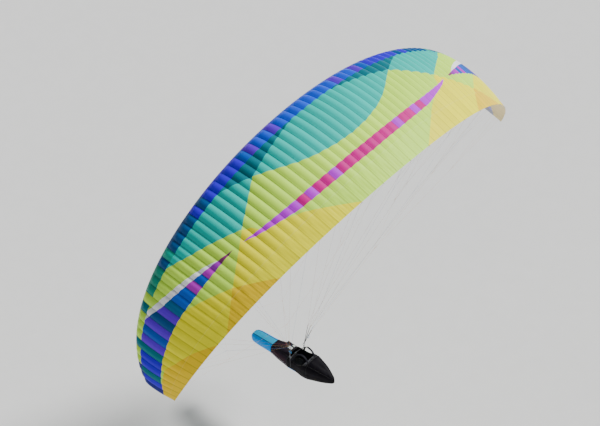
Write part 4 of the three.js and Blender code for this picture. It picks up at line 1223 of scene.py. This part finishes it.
# Seat shell. Black fabric over moulded foam, open above its rim, which climbs behind the hips to
# the rear bulkhead. An azure strip is sewn on low at each hip.
RIM_LINE = [(-0.30, -0.120), (0.200, -0.120), (0.380, -0.034), (0.430, -0.024)]  # along, up
RIM_END = RIM_LINE[-1][0]
RIM_NEAR = 0.03                         # m along the pod, the faces that a part of it may cross
HIP_STRIP = (-0.10, 0.12, -0.405, -0.372)      # m along and up
bm = pod_tube(spaced(LEG_POD_END + SEWN, TAIL_START - SEWN, 32))
for (y1, z1), (y2, z2) in zip(RIM_LINE, RIM_LINE[1:]):
    near = [face for face in bm.faces
            if y1 - RIM_NEAR < face.calc_center_median().y < y2 + RIM_NEAR]
    cut_faces(bm, near, (0, y1, z1), (0, z1 - z2, y2 - y1))
cut_faces(bm, bm.faces[:], (0, RIM_END, 0), ALONG)
above = []
for face in bm.faces:
    x, y, z = face.calc_center_median()
    if y < RIM_END and z > along_line(RIM_LINE, y):
        above.append(face)
bmesh.ops.delete(bm, geom=above, context="FACES")
for face in bm.faces:
    x, y, z = face.calc_center_median()
    on_strip = HIP_STRIP[0] < y < HIP_STRIP[1] and HIP_STRIP[2] < z < HIP_STRIP[3]
    face.material_index = 1 if on_strip else 0
hang("seat_shell_skin", bm, [black_cover, deep_azure_and_painted_shade], ["seat_shell"],
     COVER_THICK)

# Rear bulkhead. A padded panel of lining fabric closes the shell's rear end, where the back pad
# leans on it.
BULKHEAD = (0.434, TAIL_START - 0.004)
bm = pod_tube(BULKHEAD, COVER_THICK + 0.001)
draw_in(bm, BULKHEAD[0], ((0.9, -0.004), (0.6, -0.003), (0.2, -0.001)))
draw_in(bm, BULKHEAD[1], ((0.9, 0), (0.6, 0), (0.2, 0)))
hang("rear_bulkhead", bm, [lining], [])

# Tail fairing. Black fabric, held taut by air, is sewn to the shell and drawn together at its
# round tail.
TAIL_TIP = (0.98, 1.03)                 # along the pod, where its rings come closer
tail_places = spaced(TAIL_START + SEWN, TAIL_TIP[0], 22) + spaced(*TAIL_TIP, 5)[1:]
tail_places += spaced(TAIL_TIP[1], TAIL_END, 4)[1:]
bm = pod_tube(tail_places)
draw_in(bm, TAIL_END, ((0.7, 0.005), (0.35, 0.002)))
hang("tail_fairing_skin", bm, [black_cover], ["tail_fairing"], COVER_THICK)

# Piping. A cord covered in woven tape is sewn into the seams: along the top of both sides,
# round each joint between two covers, and along the shell's rim.
PIPING = 0.0028                         # m, radius
HEM = 0.004
NOSE_SEAM_END, TAIL_SEAM_END = -1.263, 1.031
seam_places = [at for at in cover_places if at > NOSE_SEAM_END] + leg_places
tail_seam_places = [at for at in tail_places if at < TAIL_SEAM_END]
bm = new_shape()
for is_right in (False, True):
    for places in (seam_places, tail_seam_places):
        path = []
        for at in places:
            turn = math.pi - seam_turn(at) if is_right else seam_turn(at)
            path.append(pod_point(at, turn))
        sweep(bm, round_section(PIPING, 8), path, UP)
for at in (FOOT_COVER_END, LEG_POD_END, TAIL_START):
    ring = [pod_point(at, turn) for turn in pod_turns(at)[:-1]]
    sweep(bm, round_section(HEM, 8), ring, ALONG, is_closed=True)
for side in (1, -1):
    rim_path = []
    for at in spaced(LEG_POD_END + 2 * SEWN, RIM_END - 2 * SEWN, 40):
        half, height, middle = pod_section(at)
        rim = along_line(RIM_LINE, at)
        up = (rim - middle) / height
        across = (max(0.0, 1 - abs(up) ** POD_ROUNDNESS)) ** (1 / POD_ROUNDNESS)
        rim_path.append(Vector((side * (half * across - COVER_THICK / 2), at, rim)))
    sweep(bm, round_section(HEM, 8), rim_path, UP)
face_outwards(bm, is_smooth=True)
hang("seam_piping", bm, [piping_fabric], [])


def sew_strips(bm, section, places, turn_at, lift, spread):
    """Lay a strip on each side of the pod, at a turn for each place and lifted off the skin. Its
    cross direction is taken between two turns, a spread to each side."""
    for is_right in (False, True):
        path, ways = [], []
        for at in places:
            turn = math.pi - turn_at(at) if is_right else turn_at(at)
            path.append(pod_point(at, turn, -lift))
            ways.append(pod_point(at, turn + spread) - pod_point(at, turn - spread))
        sweep(bm, section, path, ways)


# Zips. A flat black coil zip on woven tape closes each side of the foot cover and the leg pod,
# beside the top.
ZIP_RUN = (-1.22, -0.125)
ZIP_WIDTH, ZIP_THICK, ZIP_LIFT = 0.013, 0.002, 0.0014
zip_fabric = polyester_webbing("black_zip_tape", "#050508", "#121216", 0.004)
zip_places = [at for at in seam_places if ZIP_RUN[0] < at < ZIP_RUN[1]]
bm = new_shape()
sew_strips(bm, flat_section(ZIP_WIDTH, ZIP_THICK), zip_places, seam_turn, ZIP_LIFT, 0.03)
face_outwards(bm)
hang("side_zips", bm, [zip_fabric], [])

# Edge tape. A light grey reflective tape, woven and flat, is sewn on low along each side of the
# leg pod.
TAPE_RUN = (-0.625, -0.125)
TAPE_TURN = math.radians(-14)
TAPE_WIDTH, TAPE_THICK, TAPE_LIFT = 0.009, 0.0014, 0.0012
grey_tape = polyester_webbing("grey_reflective_tape", "#8E9098", "#B9BBC4", 0.002)
bm = new_shape()
sew_strips(bm, flat_section(TAPE_WIDTH, TAPE_THICK), spaced(*TAPE_RUN, 20),
           lambda at: TAPE_TURN, TAPE_LIFT, 0.05)
face_outwards(bm)
hang("side_tape", bm, [grey_tape], [])

# Seat. A carbon plate lies on the foam protector in the shell's floor, and a thin laminated pad
# lies on the plate. The back pad leans from the seat's rear edge to the bulkhead.
SEAT_TOP = -0.372
PROTECTOR_TOP = SEAT_TOP - 0.038
PAD_FRONT, PAD_LENGTH, PAD_WIDTH = -0.175, 0.300, 0.340
PAD_BOTTOM = PROTECTOR_TOP + 0.0086
PAD_FRAMES = 20
PAD_VOXEL = 0.006
PAD_PRESSURE = 4.0


def modified(pad):
    """The pad's mesh as its modifiers make it."""
    depsgraph = bpy.context.evaluated_depsgraph_get()
    return bpy.data.meshes.new_from_object(pad.evaluated_get(depsgraph))


def reshape(pad, mesh):
    """Give the pad a mesh in place of its own and its modifiers."""
    pad.modifiers.clear()
    pad.data = mesh


def inflated(bm, cap, name):
    """Swell a pad by a cloth simulation with air in it, no point moving past the cap, and
    subdivide it once."""
    pad = piece(name + "_raw", bm)
    bpy.context.view_layer.objects.active = pad
    remesh = pad.modifiers.new("remesh", "REMESH")
    remesh.mode = "VOXEL"
    remesh.voxel_size = PAD_VOXEL
    reshape(pad, modified(pad))
    rest = [vert.co.copy() for vert in pad.data.vertices]
    cloth = pad.modifiers.new("cloth", "CLOTH")
    cloth.settings.use_pressure = True
    cloth.settings.uniform_pressure_force = PAD_PRESSURE
    cloth.settings.effector_weights.gravity = 0
    cloth.settings.quality = 5
    cloth.collision_settings.use_collision = False
    for number in range(1, PAD_FRAMES + 1):
        bpy.context.scene.frame_set(number)
    swollen = modified(pad)
    for vert, start in zip(swollen.vertices, rest):
        moved = vert.co - start
        if moved.length > cap:
            vert.co = start + moved * cap / moved.length
    bpy.context.scene.frame_set(1)
    reshape(pad, swollen)
    finer = pad.modifiers.new("finer", "SUBSURF")
    finer.levels = finer.render_levels = 1
    reshape(pad, modified(pad))
    shape = bmesh.new()
    shape.from_mesh(pad.data)
    run, side = [shape.verts.layers.float.new(layer) for layer in ("run", "side")]
    for vert in shape.verts:
        vert[run], vert[side] = vert.co.x, vert.co.y
    bpy.data.objects.remove(pad)
    for face in shape.faces:
        face.smooth = True
    return shape


def quilt(bm, axis, channels, depth, width):
    """Sink sewn channels into a pad's upper face, at places along an axis."""
    for vert in bm.verts:
        if vert.co.z > 0:
            for channel in channels:
                vert.co.z -= depth * math.exp(-((vert.co[axis] - channel) / width) ** 2)


def rounded_block(size, corner, segments=3):
    """A block on the origin with rounded edges."""
    bm = bmesh.new()
    bmesh.ops.create_cube(bm, size=1)
    bmesh.ops.scale(bm, vec=size, verts=bm.verts)
    bmesh.ops.bevel(bm, geom=bm.edges[:], offset=corner, segments=segments, profile=0.5,
                    affect="EDGES", material=-1)
    return bm


# Laminated foam under spacer mesh: a matt dark grey knit with rows of small round holes, 3 mm
# apart in the real one and 7 mm here
HOLES = 0.007
spacer_mesh, tree = new_material("spacer_mesh")
cells = add_node(tree, "TexVoronoi", {
    "Vector": strip_plane(tree), "Scale": 1 / HOLES, "Randomness": 0.15},
    voronoi_dimensions="2D")
tint = add_node(tree, "ValToRGB", {"Fac": cells}, ramp=[(0.22, "#08080A"), (0.34, "#34343C")])
bump = add_node(tree, "Bump", {"Height": tint, "Strength": 0.6, "Distance": 0.002})
finish_material(spacer_mesh, add_node(tree, "BsdfPrincipled", {
    "Base Color": tint, "Roughness": 0.85, "Sheen Weight": 0.1, "Normal": bump}))

# Seat pad. It is cut a little small and thin, and swells to its size.
SEAT_SWELL = 0.006
SEAT_CHANNELS = (-0.085, 0.0, 0.085)    # m across, quilted lines along the pad
SEAT_QUILT = (0.0045, 0.006)            # m, depth and half width of a quilted line
pad_thick = SEAT_TOP - PAD_BOTTOM
cut = (PAD_WIDTH - 2 * SEAT_SWELL, PAD_LENGTH - 2 * SEAT_SWELL, pad_thick - 0.010)
bm = inflated(rounded_block(cut, 0.008), SEAT_SWELL, "seat_pad_cover")
quilt(bm, 0, SEAT_CHANNELS, *SEAT_QUILT)
bmesh.ops.translate(bm, verts=bm.verts,
                    vec=(0, PAD_FRONT + PAD_LENGTH / 2, (SEAT_TOP + PAD_BOTTOM) / 2))
seat_pad = hang("seat_pad_cover", bm, [spacer_mesh], ["seat_pad"])

# Back pad: a leaning slab with cross channels, narrower at its lower edge
BACK_LOW, BACK_HIGH = Vector((0, 0.130, SEAT_TOP)), Vector((0, 0.372, -0.008))  # of its face
BACK_WIDTH, BACK_THICK = 0.40, 0.045
BACK_TAPER = 0.10
BACK_SWELL = 0.010
BACK_CHANNELS = (-0.13, -0.045, 0.045, 0.13)
BACK_QUILT = (0.008, 0.009)
rise = BACK_HIGH - BACK_LOW
bm = rounded_block((BACK_WIDTH, rise.length - 0.030, BACK_THICK - 0.014), 0.010)
for vert in bm.verts:
    share = vert.co.y / rise.length + 0.5
    vert.co.x *= 1 - BACK_TAPER + BACK_TAPER * share
bm = inflated(bm, BACK_SWELL, "back_pad_cover")
quilt(bm, 1, BACK_CHANNELS, *BACK_QUILT)
lean = math.atan2(rise.z, rise.y)
normal = Vector((0, -math.sin(lean), math.cos(lean)))
centre = (BACK_LOW + BACK_HIGH) / 2 - normal * BACK_THICK / 2
bmesh.ops.transform(bm, verts=bm.verts,
                    matrix=Matrix.Translation(centre) @ Matrix.Rotation(lean, 4, "X"))
back_pad = hang("back_pad_cover", bm, [spacer_mesh], ["back_pad"])

# Foam protector under the seat: a moulded block that follows the shell's floor
PROTECTOR_RUN = (-0.188, 0.126)
PROTECTOR_INSET = COVER_THICK + 0.010
bm = new_shape()
rings = []
for at in spaced(*PROTECTOR_RUN, 14):
    half, height, middle = pod_section(at)
    up = (PROTECTOR_TOP - middle) / (height - PROTECTOR_INSET)
    start = math.asin(max(-1.0, -abs(up) ** (POD_ROUNDNESS / 2)))
    turns = spaced(start, -math.pi - start, 24)
    ring = [pod_point(at, turn, PROTECTOR_INSET) for turn in turns]
    rings.append([Vector((point.x, at, min(point.z, PROTECTOR_TOP))) for point in ring])
loft(bm, rings)
face_outwards(bm)
protector = hang("protector_cover", bm, [lining], ["seat_protector"])

# Carbon plates: 2x2 twill under clear resin, the tows 3 mm wide and drawn 8 mm wide
TOW = 0.008
carbon_twill, tree = new_material("carbon_twill")
place = add_node(tree, "TexCoord")
twill = crossed_bands(tree, place.outputs["Object"], TOW, ("X", "DIAGONAL"))
tint = add_node(tree, "ValToRGB", {"Fac": twill}, ramp=[(0, "#121214"), (1, "#34363A")])
finish_material(carbon_twill, add_node(tree, "BsdfPrincipled", {
    "Base Color": tint, "Roughness": 0.32, "Coat Weight": 0.6, "Coat Roughness": 0.15}))
for name in ("seat_plate", "foot_board"):
    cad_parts[name].data.materials.clear()
    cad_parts[name].data.materials.append(carbon_twill)

# Speed bar. An anodised alloy tube with a wider plug at each end is stowed in the toe of the pod,
# ahead of the foot board.
BOARD_AT, BAR_UP = -1.170, -0.300
BAR_HALF = 0.100
PLUG_RADIUS, TUBE_RADIUS, NOSE_RADIUS = 0.007, 0.0062, 0.0045
# From the end inwards, in m, and the radius there
BAR_END = [(0.0, NOSE_RADIUS), (0.003, PLUG_RADIUS), (0.012, PLUG_RADIUS), (0.0125, TUBE_RADIUS)]
bm = new_shape()
middle = Vector((0, BOARD_AT - CLEARANCE - PLUG_RADIUS, BAR_UP))
stations = [(inwards - BAR_HALF, radius) for inwards, radius in BAR_END]
stations += [(-across, radius) for across, radius in reversed(stations)]
loft(bm, [[middle + Vector((across, a, n)) for a, n in round_section(radius, 24)]
          for across, radius in stations])
bmesh.ops.recalc_face_normals(bm, faces=bm.faces)
for face in bm.faces:
    face.smooth = len(face.verts) == 4
hang("speed_bar_tube", bm, [anodised_alloy], ["speed_bar"])

# Instrument deck. A foam wedge covered in the pod's fabric is sewn on top of the leg pod, and its
# upper face slopes towards the seat.
DECK_FRONT, DECK_REAR = (-0.350, 0.016), (-0.114, -0.028)     # m along and up, of its top
DECK_WIDTH = 0.262
bm = bmesh.new()
bmesh.ops.create_cube(bm, size=1)
bmesh.ops.subdivide_edges(bm, edges=bm.edges[:], cuts=6, use_grid_fill=True)
for vert in bm.verts:
    x, y, z = vert.co
    across, share = x * DECK_WIDTH, y + 0.5
    at = DECK_FRONT[0] + (DECK_REAR[0] - DECK_FRONT[0]) * share
    top = DECK_FRONT[1] + (DECK_REAR[1] - DECK_FRONT[1]) * share
    half, height, middle = pod_section(at)
    reach = (1 - (abs(across) / half) ** POD_ROUNDNESS) ** (1 / POD_ROUNDNESS)
    floor_height = middle + height * reach + 0.0005
    vert.co = Vector((across, at, floor_height + (top - floor_height) * (z + 0.5)))
outer = [edge for edge in bm.edges if edge.calc_face_angle(0) > 0.8]
bmesh.ops.bevel(bm, geom=outer, offset=0.007, segments=3, profile=0.5, affect="EDGES",
                material=-1)
face_outwards(bm, is_smooth=True)
hang("deck_cover", bm, [dark_cover], ["instrument_deck"])

# Instruments. Each is a moulded case on the deck with a blank screen in a bevelled frame, and a
# row of rubber keys under it. Black ABS, moulded: satin, with a very fine grain.
moulded_abs = mottled_material(
    "black_moulded_abs", 1200.0, 2.0, "#141418", "#222228", {"Roughness": 0.4}, 0.2)
# Hardened glass over a blank reflective display: pale grey, and glossy
display_glass = mottled_material(
    "display_glass", 30.0, 3.0, "#D4DAD6", "#E2E6E2", {"Roughness": 0.12, "Coat Weight": 0.5})

# Each instrument's width, length, height, place across and place along the deck
INSTRUMENTS = {
    "instrument_large": (0.092, 0.128, 0.020, 0.004, 0.163),
    "instrument_small": (0.066, 0.092, 0.018, -0.092, 0.184),
}
KEYS = 4
KEY_LONG, KEY_HIGH, KEY_ROW = 0.006, 0.0024, 0.0125    # m, its row's middle from the near edge
KEY_WIDE, KEY_PITCH = 0.12, 0.2         # of the case's width
FRAME, BEVEL = 0.006, 0.0012            # m beside the screen, and of the step down to it
KEY_ROOM = 0.014                        # m that the screen leaves free for the keys
FRAME_NEAR = (0.008, 0.016)             # m from the near edge, where the frame moves with it
tilt = math.atan2(DECK_REAR[1] - DECK_FRONT[1], DECK_REAR[0] - DECK_FRONT[0])
deck = Matrix.Translation((0, *DECK_FRONT)) @ Matrix.Rotation(tilt, 4, "X")
for name, (width, length, height, across, along) in INSTRUMENTS.items():
    bm = rounded_block((width, length, height), 0.005, 4)
    top = max(bm.faces, key=lambda face: (face.normal.z > 0.99, face.calc_area()))
    bmesh.ops.inset_region(bm, faces=[top], thickness=FRAME, depth=0)
    bmesh.ops.inset_region(bm, faces=[top], thickness=BEVEL, depth=-BEVEL)
    for vert in top.verts:
        if vert.co.y < 0:
            vert.co.y += KEY_ROOM
    for other in {face for vert in top.verts for face in vert.link_faces}:
        for vert in other.verts:
            is_frame = vert not in top.verts and vert.co.z > height / 2 - 1e-5
            if is_frame and FRAME_NEAR[0] < vert.co.y + length / 2 < FRAME_NEAR[1]:
                vert.co.y += KEY_ROOM
    top.material_index = 1
    for key in range(KEYS):
        button = bmesh.ops.create_cube(bm, size=1)["verts"]
        bmesh.ops.scale(bm, vec=(width * KEY_WIDE, KEY_LONG, KEY_HIGH), verts=button)
        at = (key - (KEYS - 1) / 2) * width * KEY_PITCH
        bmesh.ops.translate(bm, vec=(at, -length / 2 + KEY_ROW, height / 2 + 0.0004),
                            verts=button)
        for face in {face for vert in button for face in vert.link_faces}:
            face.material_index = 2
    bmesh.ops.translate(bm, vec=(across, along, height / 2 + CLEARANCE), verts=bm.verts)
    bmesh.ops.transform(bm, matrix=deck, verts=bm.verts)
    hang(f"{name}_case", bm, [moulded_abs, display_glass, moulded_nylon], [name])

# Straps. Each hang strap is folded round its carabiner's lower bow and sewn down the shell's
# side. Shoulder, leg and chest straps keep the seat's hold, and meet at an alloy chest buckle.
RIM = -0.120
BACK_TOP = -0.008
LEG_END = PAD_FRONT - CLEARANCE - 0.0015
CHEST_UP = -0.065
# Each row of a strap is its place across, along and up, in m from the hinge, and then the
# direction across it
SHOULDER = [
    (0.201, 0.034, RIM + 0.0003, 0, 1, 0), (0.201, 0.034, RIM + 0.030, 0, 1, 0),
    (0.198, 0.046, -0.040, 0.2, 1, 0), (0.182, 0.084, 0.030, 0.5, 1, 0),
    (0.156, 0.150, 0.110, 0.8, 0.7, 0), (0.134, 0.230, 0.146, 1, 0.3, 0),
    (0.124, 0.310, 0.136, 1, 0.1, 0), (0.120, 0.368, 0.086, 1, 0, 0),
    (0.118, 0.400, 0.030, 1, 0, 0), (0.118, 0.400, BACK_TOP + 0.0003, 1, 0, 0)]
LEG = [
    (0.014, -0.038, -0.0833, 1, 0, 0), (0.014, -0.038, -0.099, 1, 0, 0),
    (0.030, -0.062, -0.150, 1, -0.1, 0), (0.064, -0.124, -0.240, 1, -0.2, 0),
    (0.086, LEG_END + 0.003, -0.315, 1, 0, 0), (0.090, LEG_END, -0.352, 1, 0, 0),
    (0.090, LEG_END, PROTECTOR_TOP + 0.0003, 1, 0, 0)]
CHEST = [(*at, CHEST_UP, 0, 0, 1) for at in (
    (0.2312, -0.002), (0.214, -0.002), (0.150, -0.024), (0.080, -0.035), (0.040, -0.038),
    (0.0263, -0.038))]
HANG_LENGTH = 0.280
HANG_FOLD = 0.0058                      # m, radius round the carabiner's lower bow
STRAP_STEPS = 6                         # between two rows


def curve_through(rows, side):
    """Points and cross directions of a strap through its rows, on a smooth curve."""
    points = [Vector((side * row[0], row[1], row[2])) for row in rows]
    ways = [Vector((side * row[3], row[4], row[5])) for row in rows]
    path, across = [], []
    for i in range(len(points) - 1):
        before = points[max(0, i - 1)]
        start, end = points[i], points[i + 1]
        after = points[min(len(points) - 1, i + 2)]
        for step in range(STRAP_STEPS + (i == len(points) - 2)):
            t = step / STRAP_STEPS
            path.append(0.5 * (2 * start + (end - before) * t
                               + (2 * before - 5 * start + 4 * end - after) * t ** 2
                               + (3 * start - before - 3 * end + after) * t ** 3))
            across.append(ways[i].lerp(ways[i + 1], t))
    return path, across


padded_strap = cover_fabric("padded_strap_fabric", "#14141A", "#24242C", 0.6, 0.002)
STRAPS = (                              # name, form, rows, width, thickness, fabric, slot
    ("shoulder", "pad", SHOULDER, 0.044, 0.0065, padded_strap, "black_cover"),
    ("leg", "webbing", LEG, 0.025, 0.003, black_webbing, "black_webbing"),
    ("chest", "webbing", CHEST, 0.025, 0.0025, black_webbing, "black_webbing"))
for side, hand in HANDS:
    bm = new_shape()
    path = folded_webbing(HANG_FOLD, HANG_LENGTH, 16)
    sweep(bm, flat_section(TRUNK_WIDTH, TRUNK_THICK), path, ALONG)
    bmesh.ops.rotate(bm, verts=bm.verts, matrix=Matrix.Rotation(math.pi, 3, "X"))
    bmesh.ops.translate(bm, verts=bm.verts, vec=(side * HOOK_HALF, 0, -BOW_RADIUS))
    face_outwards(bm)
    hang(f"hang_webbing_{hand}", bm, [black_webbing], [f"hang_strap_{hand}"])

    for name, form, rows, width, thickness, fabric, slot_name in STRAPS:
        bm = new_shape()
        path, across = curve_through(rows, side)
        sweep(bm, flat_section(width, thickness), path, across)
        face_outwards(bm, is_smooth=form == "pad")
        strap = hang(f"{name}_{form}_{hand}", bm, [fabric], [f"{name}_strap_{hand}"])

# Chest buckle. A forged alloy plate with a raised rim holds the two chest straps, each by a round
# catch.
BUCKLE = (0.052, 0.014, 0.036)
BUCKLE_AT = (0, -0.038, CHEST_UP)
CATCH_BESIDE, CATCH_AHEAD = 0.012, 0.0058
bm = rounded_block(BUCKLE, 0.0035, 3)
front = min(bm.faces, key=lambda face: (face.normal.y, -face.calc_area()))
bmesh.ops.inset_region(bm, faces=[front], thickness=0.004, depth=0)
bmesh.ops.inset_region(bm, faces=[front], thickness=0.001, depth=-0.0025)
for across in (-CATCH_BESIDE, CATCH_BESIDE):
    facing = Matrix.Translation((across, -CATCH_AHEAD, 0)) @ Matrix.Rotation(math.pi / 2, 4, "X")
    bmesh.ops.create_cone(bm, cap_ends=True, segments=20, radius1=0.0055, radius2=0.005,
                          depth=0.003, matrix=facing)
bmesh.ops.translate(bm, verts=bm.verts, vec=BUCKLE_AT)
hang("chest_buckle_plate", bm, [anodised_alloy], ["chest_buckle"])

# Reserve parachute pocket. A fabric box, its flap closed over the middle, is sewn to the shell's
# right side. Its red pull handle of webbing stands on its outer face.
POCKET = (0.016, 0.084, 0.080)
POCKET_FACE = -(0.2312 + CLEARANCE)
POCKET_ALONG, POCKET_UP = -0.060, -0.256
CROWN = 0.001                           # m that its outer face bulges
FLAP_EDGE = 0.016                       # m above the middle
FLAP_DEPTH, FLAP_GROOVE = 0.002, 0.003  # m, of the groove along it, and its half width
PULL_HALF, PULL_CORD, PULL_WIDTH, PULL_RISE = 0.013, 0.008, 0.012, 0.022
bm = rounded_block(POCKET, 0.005, 3)
bmesh.ops.subdivide_edges(bm, edges=bm.edges[:], cuts=2, use_grid_fill=True)
for vert in bm.verts:
    if vert.co.x < 0:
        crown = (1 - (2 * vert.co.y / POCKET[1]) ** 2) * (1 - (2 * vert.co.z / POCKET[2]) ** 2)
        vert.co.x -= CROWN * crown
        vert.co.x += FLAP_DEPTH * math.exp(-((vert.co.z - FLAP_EDGE) / FLAP_GROOVE) ** 2)
bmesh.ops.translate(bm, verts=bm.verts,
                    vec=(POCKET_FACE - POCKET[0] / 2, POCKET_ALONG, POCKET_UP))
for face in bm.faces:
    face.smooth = True
hang("reserve_container", bm, [black_cover], ["reserve_pocket"])

red_webbing = polyester_webbing("red_polyester_webbing", "#8E0E14", "#D0242C")
bm = new_shape()
ring = bow_ring(PULL_HALF, -PULL_RISE, PULL_RISE, 12)
sweep(bm, flat_section(PULL_WIDTH, PULL_CORD), ring, ACROSS, is_closed=True)
bmesh.ops.translate(bm, verts=bm.verts, vec=(
    POCKET_FACE - POCKET[0] - CLEARANCE - PULL_WIDTH / 2, POCKET_ALONG, POCKET_UP))
face_outwards(bm, is_smooth=True)
hang("reserve_pull", bm, [red_webbing], ["reserve_handle"])
